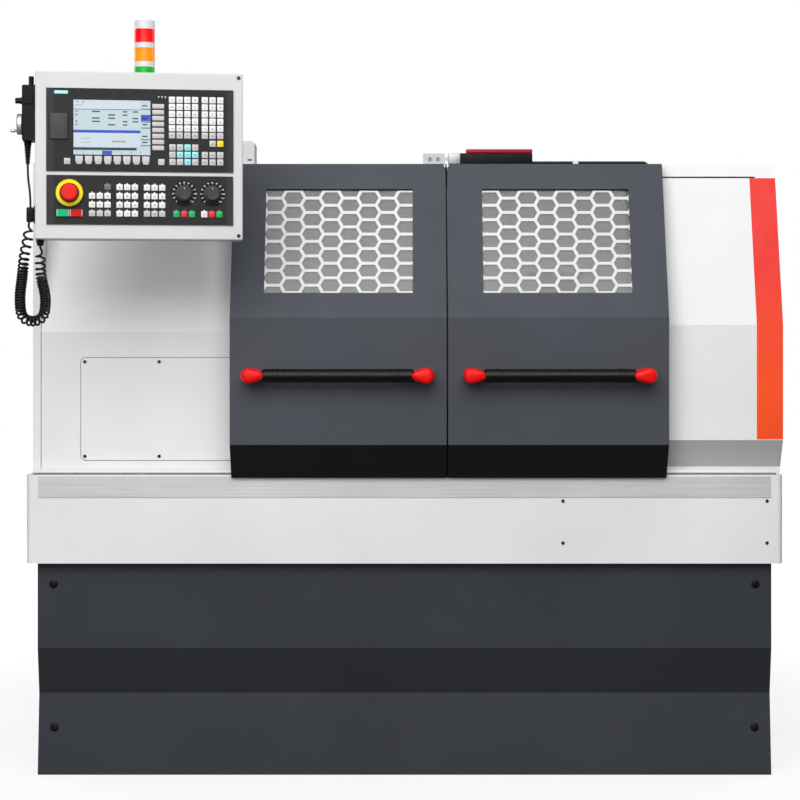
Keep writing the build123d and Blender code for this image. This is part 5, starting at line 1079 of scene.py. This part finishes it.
def make_back():
    # Painted shade: a thin black film on the arm base's front stands for the dark of a slot
    outline = round_corners(ARM_SLOT_WIDTH, ARM_SLOT_HEIGHT, ARM_SLOT_HEIGHT / 2)
    slot_place = facing(ARM_SLOT_PLACE, FRONT)
    lone(prism(outline, ARM_SLOT_SHADE_FILM), slot_place, "arm_slot_shade", "machine", "handle_black", BLACK)
    axis = sum(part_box("spindle"), Vector()) / 2
    trim = band(circle(BAR_HOLE_R + TRIM_WIDTH), circle(BAR_HOLE_R), TRIM_PROUD)
    trim_place = facing((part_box("end_cover")[0].x, axis.y, axis.z), LEFT)
    lone(trim, trim_place, "bar_hole_trim", "machine", "handle_black", RUBBER)
    low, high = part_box("cabinet_door")
    middle = (low.x + high.x) / 2
    span = (middle - LOUVRE_WIDTH / 2, middle + LOUVRE_WIDTH / 2)
    height = high.z - low.z
    crest = high.y + LOUVRE_PROUD
    louvres = Build()
    for share in LOUVRE_TOP_SHARES:
        for index in range(LOUVRE_COUNT):
            top = low.z + share * height - index * LOUVRE_PITCH
            line = [(high.y, top), (crest, top - LOUVRE_DROP / 2), (crest, top - LOUVRE_DROP)]
            louvres.add(strip(line, span, -LOUVRE_WALL))
    louvres.piece("cabinet_louvres", "cabinet_door", "white_paint", WHITE)
    latches = Build()
    wing = Vector((LATCH_WING / 2, 0, LATCH_REACH))
    proud = Vector((0, LATCH_PROUD, 0))
    for share in LATCH_LEVEL_SHARES:
        spot = Vector((high.x - LATCH_INSET, high.y, low.z + share * height))
        latches.add(turned(LATCH_LINE), facing(spot, BACK))
        latches.box(spot - wing, spot + wing + proud, LATCH_WING / 3)
    latches.piece("cabinet_latches", "cabinet_door", "handle_black", BLACK)


make_back()

# Signal tower lenses with fine ribs
LENS_RIB = 0.0006
LENS_RIBS = 9
LENS_RIB_SHARES = (0.3, 0.7)
LENS_WALL = 0.003
LENS_STEPS = 48


def make_lenses():
    for node, look in LENSES.items():
        low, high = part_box(node)
        middle = (low + high) / 2
        radius = (high.x - low.x) / 2
        height = high.z - low.z
        pitch = height / LENS_RIBS
        line = [(radius - LENS_WALL, 0), (radius - LENS_RIB, 0)]
        for rib in range(LENS_RIBS):
            line += [(radius, (rib + share) * pitch) for share in LENS_RIB_SHARES]
            line += [(radius - LENS_RIB, (rib + 1) * pitch)]
        line += [(radius - LENS_WALL, height)]
        place = Matrix.Translation((middle.x, middle.y, low.z))
        shell = turned(line, LENS_STEPS, closed=True)
        lone(shell, place, node + "_shell", "machine", node, look, replaces=[node])


make_lenses()

# Control panels: their boxes from the top, and the face that their fittings stand on
PANELS = sorted(solids_of("control_panels"), key=lambda box: -box[1].z)
PADS = solids_of("keypads")
PADS_LOW, PADS_HIGH = local_box("keypads")
FACE = max(low.y for low, high in PADS) + (PADS_HIGH.y - PADS_LOW.y)


def panel_spot(panel, share_u, share_z):
    low, high = PANELS[panel]
    return low.x + share_u * (high.x - low.x), low.z + share_z * (high.z - low.z)


def on_face(low, high):
    """A frame on the panels' face in front of a box's middle."""
    return facing(((low.x + high.x) / 2, FACE, (low.z + high.z) / 2), FRONT)


# Key colours by place on a panel: lowest and highest share across and up, then the look; the first match wins
KEY_LOOKS = (KEY_WHITE, KEY_GREY, KEY_DARK, KEY_YELLOW, KEY_CYAN, KEY_GREEN, KEY_RED)
DISPLAY_COLOUR_SHARES = (
    (0.74, 0.77, 0.00, 0.33, KEY_CYAN),
    (0.70, 0.80, 0.18, 0.24, KEY_CYAN),
    (0.91, 1.00, 0.32, 0.37, KEY_YELLOW),
    (0.66, 1.00, 0.48, 1.00, KEY_WHITE),
    (0.00, 1.00, 0.00, 1.00, KEY_GREY),
)
OPERATOR_COLOUR_SHARES = (
    (0.68, 0.72, 0.0, 0.35, KEY_GREEN),
    (0.72, 0.76, 0.0, 0.35, KEY_RED),
    (0.76, 0.80, 0.0, 0.35, KEY_GREEN),
    (0.83, 0.86, 0.0, 0.35, KEY_WHITE),
    (0.86, 0.90, 0.0, 0.35, KEY_RED),
    (0.90, 0.95, 0.0, 0.35, KEY_GREEN),
    (0.30, 0.35, 0.7, 0.85, KEY_DARK),
    (0.20, 0.35, 0.0, 0.30, KEY_GREY),
    (0.52, 0.64, 0.0, 0.30, KEY_GREY),
    (0.00, 1.00, 0.0, 1.00, KEY_WHITE),
)
KEY_SOFT = 0.0011
SOFT_KEY_TALL = 0.018
TAPER_SHARE = 0.68
SHOULDER_SHARE = -0.05
TAB_WIDTH = 0.0036
TAB_HEIGHT = 0.0026
MARK_DEPTH = 0.0001
MARK_WIDTH = 0.0052
MARK_HEIGHT = 0.0011
MARK_SPACING = 0.00242
SHORT_MARK_SHARE = 0.6
FIGURE_SIZE = 0.0072
DIGIT_COLUMN_SHARES = (0.83, 1.0)
DIGIT_ROW_SHARES = (0.56, 0.83)
PLAIN_COLUMN_SHARES = (0.55, 0.66)


def within(share, ends):
    return ends[0] < share < ends[1]


def key_look(panel, share_u, share_z):
    rules = OPERATOR_COLOUR_SHARES if panel else DISPLAY_COLOUR_SHARES
    for left, right, foot, top, look in rules:
        if left <= share_u <= right and foot <= share_z <= top:
            return KEY_LOOKS.index(look)


def soft_key(width, height, depth):
    """A cap with a square head that narrows towards its foot."""
    half = width / 2
    foot = half * TAPER_SHARE
    shoulder = SHOULDER_SHARE * height
    outline = [(-half, height / 2), (-half, shoulder), (-foot, -height / 2), (foot, -height / 2)]
    outline += [(half, shoulder), (half, height / 2)]
    return prism(outline, depth, KEY_SOFT)


def key_mark(build, place, index, digit):
    """A figure on a number key, or small strokes on another."""
    if digit is not None:
        build.add(lettering(str(digit), FIGURE_SIZE, MARK_DEPTH), place)
        return
    strokes = 1 + index % 2
    for stroke in range(strokes):
        rise = Matrix.Translation((0, (stroke - (strokes - 1) / 2) * MARK_SPACING, 0))
        width = MARK_WIDTH * (SHORT_MARK_SHARE if stroke else 1)
        build.add(rounded_box((width, MARK_HEIGHT, 2 * MARK_DEPTH), MARK_DEPTH / 2, steps=1), place @ rise)


def make_keys():
    caps = Build(PENDANT)
    marks = Build(PENDANT)
    digits = list("789456123")
    boxes = sorted(PADS, key=lambda box: (-round(box[1].z, 4), box[0].x))
    for index, (low, high) in enumerate(boxes):
        panel = 0 if low.z > PANELS[0][0].z else 1
        panel_low, panel_high = PANELS[panel]
        middle = (low + high) / 2
        share_u = (middle.x - panel_low.x) / (panel_high.x - panel_low.x)
        share_z = (middle.z - panel_low.z) / (panel_high.z - panel_low.z)
        look = key_look(panel, share_u, share_z)
        width, depth, height = high - low
        if height > SOFT_KEY_TALL:
            caps.add(soft_key(width, height, depth), facing((middle.x, high.y, middle.z), FRONT), look)
            continue
        caps.box(low, high, KEY_SOFT, look)
        if panel:
            tab_low = (middle.x - TAB_WIDTH / 2, low.y + KEY_SOFT, high.z - KEY_SOFT)
            caps.box(tab_low, (middle.x + TAB_WIDTH / 2, high.y, high.z + TAB_HEIGHT), KEY_SOFT / 3, look)
        on_digits = within(share_u, DIGIT_COLUMN_SHARES) and within(share_z, DIGIT_ROW_SHARES)
        digit = digits.pop(0) if on_digits and digits and not panel else None
        if panel or not within(share_u, PLAIN_COLUMN_SHARES):
            key_mark(marks, facing((middle.x, low.y, middle.z), FRONT), index, digit)
    caps.piece("key_caps", "pendant", "key_grey", *KEY_LOOKS, replaces=["keypads"])
    marks.piece("key_marks", "pendant", "knob_black", MARK)


make_keys()

# Screen picture: fields by share from the left and from the top, then the look
PICTURE_LOOKS = (SCREEN_WHITE, SCREEN_BLUE, SCREEN_DARK, SCREEN_MARK, SCREEN_ORANGE)
PICTURE_SHARES = (
    (0.005, 0.865, 0.000, 0.165, SCREEN_WHITE),
    (0.005, 0.865, 0.600, 0.860, SCREEN_WHITE),
    (0.000, 0.870, 0.548, 0.600, SCREEN_BLUE),
    (0.000, 0.820, 0.868, 0.915, SCREEN_DARK),
    (0.375, 0.495, 0.925, 0.998, SCREEN_BLUE),
    (0.876, 0.998, 0.262, 0.375, SCREEN_BLUE),
    (0.500, 0.680, 0.742, 0.768, SCREEN_ORANGE),
    (0.090, 0.220, 0.700, 0.710, SCREEN_MARK),
    (0.090, 0.220, 0.770, 0.780, SCREEN_MARK),
    (0.090, 0.096, 0.700, 0.780, SCREEN_MARK),
    (0.005, 0.865, 0.168, 0.176, SCREEN_MARK),
    (0.030, 0.070, 0.020, 0.050, SCREEN_MARK),
    (0.110, 0.135, 0.020, 0.050, SCREEN_MARK),
    (0.020, 0.110, 0.085, 0.100, SCREEN_MARK),
)
PICTURE_ROW_SHARES = (0.20, 0.26, 0.32, 0.38, 0.44)
PICTURE_COLUMN_SHARES = ((0.03, 0.05), (0.24, 0.34), (0.45, 0.54), (0.64, 0.70), (0.77, 0.84))
SIDE_LINE_SHARES = (0.15, 0.385, 0.495, 0.71, 0.82)
SIDE_KEY_SHARES = (0.876, 0.998)
SIDE_MARK_SHARES = (0.895, 0.96)
FOOT_KEY_SHARES = (0.925, 0.998)
FOOT_KEY_COUNT = 8
FOOT_LINE_SHARE = 0.002
ROW_HEIGHT_SHARE = 0.022
LINE_HEIGHT_SHARE = 0.014
PICTURE_DEPTH = 0.0002


def make_picture():
    low, high = local_box("display_screen")
    width = high.x - low.x
    height = high.z - low.z
    build = Build(PENDANT)

    def field(left, right, top, foot, look):
        near = (low.x + left * width, low.y - PICTURE_DEPTH, high.z - foot * height)
        far = (low.x + right * width, low.y, high.z - top * height)
        build.box(near, far, PICTURE_DEPTH / 3, PICTURE_LOOKS.index(look), steps=1)

    for values in PICTURE_SHARES:
        field(*values)
    for row, top in enumerate(PICTURE_ROW_SHARES):
        for column, (left, right) in enumerate(PICTURE_COLUMN_SHARES):
            if (row + column) % 3 < 2:
                field(left, right, top, top + ROW_HEIGHT_SHARE, SCREEN_MARK)
    for top in SIDE_LINE_SHARES:
        field(*SIDE_KEY_SHARES, top, top + LINE_HEIGHT_SHARE, SCREEN_DARK)
        field(*SIDE_MARK_SHARES, top - 3 * ROW_HEIGHT_SHARE, top - 2 * ROW_HEIGHT_SHARE, SCREEN_MARK)
    for key in range(1, FOOT_KEY_COUNT):
        middle = key / FOOT_KEY_COUNT
        field(middle - FOOT_LINE_SHARE, middle + FOOT_LINE_SHARE, *FOOT_KEY_SHARES, SCREEN_MARK)
    build.piece("screen_picture", "pendant", "screen", *PICTURE_LOOKS)


make_picture()

# Dials round the two override knobs
DIAL_R = 0.029
DIAL_HOLE_R = 0.0196
DIAL_DEPTH = 0.0008
DIAL_SOFT = 0.0003
DIAL_TICKS = 13
DIAL_STEP = 10
DIAL_SPAN = 270.0
TICK_START = 0.0203
TICK_END = 0.0218
TICK_WIDTH = 0.0008
NUMBER_R = 0.0255
NUMBER_SIZE = 0.0044
NUMBER_BOLD = 0.00012
ROUND_STEPS = 64
KNOB_GAP = 0.0003
KNOB_FLUTES = 18
FLUTE_STEPS = 8
FLUTE_DEPTH = 0.0006
KNOB_SKIRT = 0.004
SKIRT_EDGE_SHARE = 0.7
SKIRT_STEP = 0.0002
KNOB_SKIRT_R = 0.019
KNOB_R = 0.0155
KNOB_TOP_ROUND = 0.0015
POINTER_WIDTH = 0.0012
POINTER_LENGTH = 0.004


def knob_ripple(radius, height, angle):
    """Flutes round the knob's grip, above its skirt."""
    if height > KNOB_SKIRT and radius > KNOB_R - 2 * KNOB_TOP_ROUND:
        return radius - FLUTE_DEPTH * (1 - abs(math.sin(KNOB_FLUTES * angle / 2)))
    return radius


def make_dial(node):
    low, high = local_box(node)
    dial = Build(PENDANT)
    spot = on_face(low, high)
    line = [(DIAL_HOLE_R, 0), (DIAL_HOLE_R, DIAL_DEPTH), (DIAL_R - DIAL_SOFT, DIAL_DEPTH)]
    line += [(DIAL_R, DIAL_DEPTH - DIAL_SOFT), (DIAL_R, 0)]
    dial.add(turned(line, ROUND_STEPS, closed=True), spot)
    raised = spot @ Matrix.Translation((0, 0, DIAL_DEPTH + MARK_DEPTH / 2))
    tick_size = (TICK_END - TICK_START, TICK_WIDTH, 2 * MARK_DEPTH)
    for tick in range(DIAL_TICKS):
        angle = math.radians(90 + DIAL_SPAN / 2 - DIAL_SPAN * tick / (DIAL_TICKS - 1))
        ray = Vector((math.cos(angle), math.sin(angle), 0))
        stroke = Matrix.Translation(ray * (TICK_START + TICK_END) / 2) @ Matrix.Rotation(angle, 4, "Z")
        dial.add(rounded_box(tick_size, MARK_DEPTH / 2, steps=1), raised @ stroke, material=1)
        number = lettering(str(tick * DIAL_STEP), NUMBER_SIZE, MARK_DEPTH, NUMBER_BOLD)
        dial.add(number, raised @ Matrix.Translation(ray * NUMBER_R), material=1)
    dial.piece(node + "_dial", "pendant", "knob_black", BLACK, WHITE_MARK)
    knob = Build(PENDANT)
    foot = spot @ Matrix.Translation((0, 0, KNOB_GAP))
    top = FACE - KNOB_GAP - low.y
    line = [(0, 0), (KNOB_SKIRT_R, 0), (KNOB_SKIRT_R, KNOB_SKIRT * SKIRT_EDGE_SHARE)]
    line += [(KNOB_SKIRT_R - KNOB_TOP_ROUND, KNOB_SKIRT), (KNOB_R, KNOB_SKIRT + SKIRT_STEP)]
    line += [(KNOB_R, top - KNOB_TOP_ROUND), (KNOB_R - KNOB_TOP_ROUND, top), (0, top - KNOB_TOP_ROUND / 3)]
    knob.add(turned(line, KNOB_FLUTES * FLUTE_STEPS, knob_ripple), foot)
    stroke = Matrix.Translation((0, KNOB_R - POINTER_LENGTH, top - MARK_DEPTH))
    pointer = rounded_box((POINTER_WIDTH, POINTER_LENGTH, 4 * MARK_DEPTH), MARK_DEPTH, steps=1)
    knob.add(pointer, foot @ stroke, material=1)
    knob.piece(node + "_cap", node, "knob_black", KNOB, WHITE_MARK, replaces=[node])


make_dial("feed_knob")
make_dial("spindle_knob")

# Emergency stop collar, button bezels, panel bands and lights
COLLAR_R = 0.0322
COLLAR_INNER_R = 0.0205
COLLAR_HEIGHT = 0.0062
COLLAR_ROUND = 0.002
STEM_R = 0.0125
BEZEL_WIDTH = 0.0022
BEZEL_HEIGHT = 0.0035
BEZEL_SOFT = 0.0005
LEFT_BAND = 0.017
RIGHT_BAND = 0.014
BAND_DEPTH = 0.0006
LIGHT_SHARES = ((0.598, 0.902), (0.616, 0.902), (0.634, 0.902))
LIGHT_SIZE = 0.0042


def make_fittings():
    edge = COLLAR_HEIGHT - COLLAR_ROUND
    line = [(COLLAR_INNER_R, edge), (COLLAR_INNER_R + COLLAR_ROUND, COLLAR_HEIGHT)]
    line += [(COLLAR_R - COLLAR_ROUND, COLLAR_HEIGHT), (COLLAR_R, edge), (COLLAR_R, 0)]
    line += [(STEM_R, 0), (STEM_R, edge)]
    facts = ("estop_collar", "pendant", "estop_red", ESTOP_YELLOW)
    lone(turned(line, ROUND_STEPS, closed=True), on_face(*local_box("estop_button")), *facts, base=PENDANT)
    frames = Build(PENDANT)
    for node in ("start_button", "stop_button"):
        low, high = local_box(node)
        for left in (low.x - BEZEL_WIDTH, high.x):
            far = (left + BEZEL_WIDTH, FACE, high.z)
            frames.box((left, FACE - BEZEL_HEIGHT, low.z), far, BEZEL_SOFT)
    frames.piece("button_bezels", "pendant", "panel_grey", KEY_GREY)
    bands = Build(PENDANT)
    for low, high in PANELS:
        for near, far in ((low.x, low.x + LEFT_BAND), (high.x - RIGHT_BAND, high.x)):
            bands.box((near, FACE - BAND_DEPTH, low.z), (far, FACE, high.z), BAND_DEPTH / 3, steps=1)
    bands.piece("panel_bands", "pendant", "panel_grey", BAND)
    lights = Build(PENDANT)
    half = LIGHT_SIZE / 2
    triangle = [(-half, half), (0, -half), (half, half)]
    for shares in LIGHT_SHARES:
        u, z = panel_spot(0, *shares)
        lights.add(prism(triangle, 2 * MARK_DEPTH), facing((u, FACE, z), FRONT))
    lights.piece("panel_lights", "pendant", "panel_grey", WHITE_MARK)


make_fittings()

# Hand-wheel unit: knurled wheel with its crank, selector cap, ribbed relief, clamp and gland
WHEEL_BACK = 0.0003
WHEEL_R = 0.024
WHEEL_HEIGHT = 0.013
WHEEL_LINE = (
    (0.0, 0.0), (0.0215, 0.0), (WHEEL_R, 0.0018), (WHEEL_R, 0.0098), (0.0222, 0.0122), (0.0188, 0.0126),
    (0.0162, 0.0098), (0.0075, 0.0098), (0.0068, WHEEL_HEIGHT), (0.0, WHEEL_HEIGHT),
)
KNURLS = 44
KNURL_STEPS = 4
KNURL_DEPTH = 0.0005
KNURL_START_R = 0.0235
CRANK_LINE = (
    (0.0, -0.004), (0.0026, -0.004), (0.0026, 0.0012), (0.0036, 0.0026), (0.0040, 0.0080), (0.0038, 0.0120),
    (0.0026, 0.0138), (0.0, 0.0140),
)
CRANK_ARM = 0.015
CRANK_STEPS = 24
SELECTOR_LINE = (
    (0.0, 0.0), (0.0080, 0.0), (0.0080, 0.0040), (0.0068, 0.0052), (0.0068, 0.0146),
    (0.0056, 0.0160), (0.0, 0.0160),
)
SELECTOR_FLUTES = 10
SELECTOR_FLUTE_START = 0.005
RELIEF_RIBS = 8
RELIEF_RIB_SHARES = (0.25, 0.5, 0.6, 1.0)
RELIEF_STEPS = 28
RELIEF_NUT = 0.010
RELIEF_TOP_R = 0.0085
RELIEF_END_R = 0.0052
RIB_DEPTH = 0.0017
CLAMP_PLATE = 0.004
CLAMP_MARGIN = 0.003
CLAMP_SOFT = 0.0025
GLAND_CHAMFER = 0.0015


def wave(count, angle):
    return (1 + math.cos(count * angle)) / 2


def wheel_ripple(radius, height, angle):
    """Knurls round the wheel's rim."""
    return radius - KNURL_DEPTH * wave(KNURLS, angle) if radius > KNURL_START_R else radius


def selector_ripple(radius, height, angle):
    """Flutes round the selector's grip."""
    if height > SELECTOR_FLUTE_START and radius > 0:
        return radius - FLUTE_DEPTH * wave(SELECTOR_FLUTES, angle)
    return radius


def make_hand_wheel():
    back = local_box("mpg_body")[0].x - WHEEL_BACK
    low, high = local_box("mpg_wheel")
    middle_v = (low.y + high.y) / 2
    wheel_z = high.z - WHEEL_R
    wheel = Build(PENDANT)
    wheel.add(turned(WHEEL_LINE, KNURLS * KNURL_STEPS, wheel_ripple), facing((back, middle_v, wheel_z), LEFT))
    crank_place = facing((back - WHEEL_HEIGHT, middle_v, wheel_z - CRANK_ARM), LEFT)
    wheel.add(turned(CRANK_LINE, CRANK_STEPS), crank_place)
    wheel.piece("hand_wheel_rim", "mpg_wheel", "wheel_metal", ALUMINIUM, replaces=["mpg_wheel"])
    low, high = local_box("mpg_selector")
    cap = turned(SELECTOR_LINE, SELECTOR_FLUTES * FLUTE_STEPS, selector_ripple)
    facts = ("selector_cap", "mpg_selector", "knob_black", GRIP)
    place = facing((back, middle_v, (low.z + high.z) / 2), LEFT)
    lone(cap, place, *facts, base=PENDANT, replaces=["mpg_selector"])


def make_reliefs():
    relief, clamp, gland = sorted(solids_of("cord_reliefs"), key=lambda box: -box[1].z)
    build = Build(PENDANT)
    low, high = relief
    length = high.z - low.z
    pitch = (length - RELIEF_NUT) / RELIEF_RIBS
    line = [(0, 0), (RELIEF_TOP_R, 0), (RELIEF_TOP_R, RELIEF_NUT)]
    for rib in range(RELIEF_RIBS):
        crest = RELIEF_TOP_R + (RELIEF_END_R - RELIEF_TOP_R) * (rib + 1) / RELIEF_RIBS
        reaches = (crest - RIB_DEPTH, crest - RIB_DEPTH, crest, crest)
        line += [(r, RELIEF_NUT + (rib + share) * pitch) for r, share in zip(reaches, RELIEF_RIB_SHARES)]
    line += [(0, length)]
    middle = (low + high) / 2
    build.add(turned(line, RELIEF_STEPS), facing((middle.x, middle.y, high.z), DOWN))
    low, high = clamp
    plate_u = high.x - CLAMP_PLATE
    near = (plate_u, low.y, low.z - CLAMP_MARGIN)
    build.box(near, (high.x, high.y, high.z + CLAMP_MARGIN), CLAMP_PLATE / 4, material=1)
    near = (low.x, low.y + CLAMP_MARGIN, low.z)
    build.box(near, (plate_u, high.y - CLAMP_MARGIN, high.z), CLAMP_SOFT, steps=4)
    low, high = gland
    middle = (low + high) / 2
    place = facing((middle.x, middle.y, high.z), DOWN)
    radius = (high.x - low.x) / 2
    length = high.z - low.z
    neck = radius - GLAND_CHAMFER
    nut_end = length / 2 + GLAND_CHAMFER
    build.add(turned([(0, 0), (radius, 0), (radius, length / 2), (neck, nut_end), (0, nut_end)], HEX), place)
    line = [(0, 0), (neck, 0), (neck, length - GLAND_CHAMFER), (neck - GLAND_CHAMFER, length), (0, length)]
    build.add(turned(line), place)
    build.piece("cord_fittings", "pendant", "cable_black", BLACK, BLACK_STEEL, replaces=["cord_reliefs"])


make_hand_wheel()
make_reliefs()

# Interface cover with its seam and a plain badge plate
COVER_SOFT = 0.0018
COVER_SEAM = 0.0012
GRIP_WIDTH = 0.0035
GRIP_INSET = 0.004
GRIP_PROUD = 0.0012
BADGE_LOW_SHARES = (0.041, 0.923)
BADGE_HIGH_SHARES = (0.117, 0.971)
BADGE_DEPTH = 0.0007
BADGE_RIM = 0.0011
BADGE_SOFT = 0.0003


def make_cover():
    low, high = local_box("usb_cover")
    shell = Build(PENDANT)
    shell.box(low, high, COVER_SOFT, steps=4)
    right = high.x - GRIP_INSET
    foot, top = inset(low.z, high.z, 2 * GRIP_INSET)
    near = (right - GRIP_WIDTH, low.y - GRIP_PROUD, foot)
    shell.box(near, (right, low.y + GRIP_PROUD, top), GRIP_PROUD / 2, steps=3)
    shell.piece("cover_shell", "usb_cover", "cover_black", COVER, replaces=["usb_cover"])
    trims = Build(PENDANT)
    seam = round_band(high.x - low.x, high.z - low.z, COVER_SOFT, COVER_SEAM, BADGE_DEPTH)
    trims.add(seam, on_face(low, high))
    left, foot = panel_spot(0, *BADGE_LOW_SHARES)
    right, top = panel_spot(0, *BADGE_HIGH_SHARES)
    for layer, rim in ((1, 0.0), (2, BADGE_RIM)):
        near = (left + rim, FACE - layer * BADGE_DEPTH, foot + rim)
        trims.box(near, (right - rim, FACE, top - rim), BADGE_SOFT, layer)
    trims.piece("panel_trims", "pendant", "panel_grey", BLACK, BADGE_TEAL, BADGE_CYAN)


make_cover()

# Inside the chamber: the screw's thread, chuck bolts and tool bolts
THREAD_ROOT_R = 0.0146
THREAD_R = 0.016
THREAD_PITCH = 0.010
THREAD_STEPS = 20
THREAD_START_SHARE = 0.5
THREAD_PROFILE_SHARES = ((THREAD_ROOT_R, -0.42), (THREAD_R, -0.22), (THREAD_R, 0.22), (THREAD_ROOT_R, 0.42))
CORE_STEPS = 40
CHUCK_BOLT_R = 0.007
CHUCK_BOLT_HEAD = 0.003
CHUCK_BOLT_ARM = 0.082
TOOL_BOLT_R = 0.0085
TOOL_BOLT_HEAD = 0.012
TOOL_BOLT_SHARES = (0.14, 0.36, 0.64, 0.86)
TOOL_BOLT_INSET = 0.016
SQUARE = 4


def make_thread():
    low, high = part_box("carriage_screw")
    length = high.x - low.x
    middle = (low + high) / 2
    spot = facing((low.x, middle.y, middle.z), RIGHT)
    core = [(0, 0), (THREAD_ROOT_R, 0), (THREAD_ROOT_R, length), (0, length)]
    loops = []
    for step in range(int((length / THREAD_PITCH - 1) * THREAD_STEPS)):
        angle = TURN * step / THREAD_STEPS
        run = step / THREAD_STEPS + THREAD_START_SHARE
        across, up = math.cos(angle), math.sin(angle)
        profile = [(r, (run + share) * THREAD_PITCH) for r, share in THREAD_PROFILE_SHARES]
        loops.append([(r * across, r * up, height) for r, height in profile])
    thread = Build()
    thread.add(turned(core, CORE_STEPS), spot)
    thread.add(skin(loops), spot)
    facts = ("carriage_screw_thread", "carriage_screw", "ground_steel", TURNED)
    thread.piece(*facts, replaces=["carriage_screw"])


def make_bolts():
    low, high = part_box("chuck")
    centre = (low + high) / 2
    bolts = Build()
    for jaw in ("chuck_jaw_1", "chuck_jaw_2", "chuck_jaw_3"):
        away = (sum(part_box(jaw), Vector()) / 2 - centre) * Vector((0, -1, -1))
        point = Vector((high.x, centre.y, centre.z)) + away.normalized() * CHUCK_BOLT_ARM
        bolts.add(screw_head(CHUCK_BOLT_R, CHUCK_BOLT_HEAD), facing(point, RIGHT))
    bolts.piece("chuck_bolts", "spindle", "bearing_steel", BLACK_STEEL)
    low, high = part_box("tool_turret")
    width, depth, height = high - low
    head = [(0, 0), (TOOL_BOLT_R, 0), (TOOL_BOLT_R, TOOL_BOLT_HEAD), (0, TOOL_BOLT_HEAD)]
    tools = Build()
    for margin in (TOOL_BOLT_INSET, depth - TOOL_BOLT_INSET):
        for share in TOOL_BOLT_SHARES:
            for x, y in ((share * width, margin), (margin, share * depth)):
                tools.add(turned(head, SQUARE), Matrix.Translation((low.x + x, low.y + y, high.z)))
    tools.piece("tool_bolts", "tool_turret", "bearing_steel", BLACK_STEEL)


make_thread()
make_bolts()
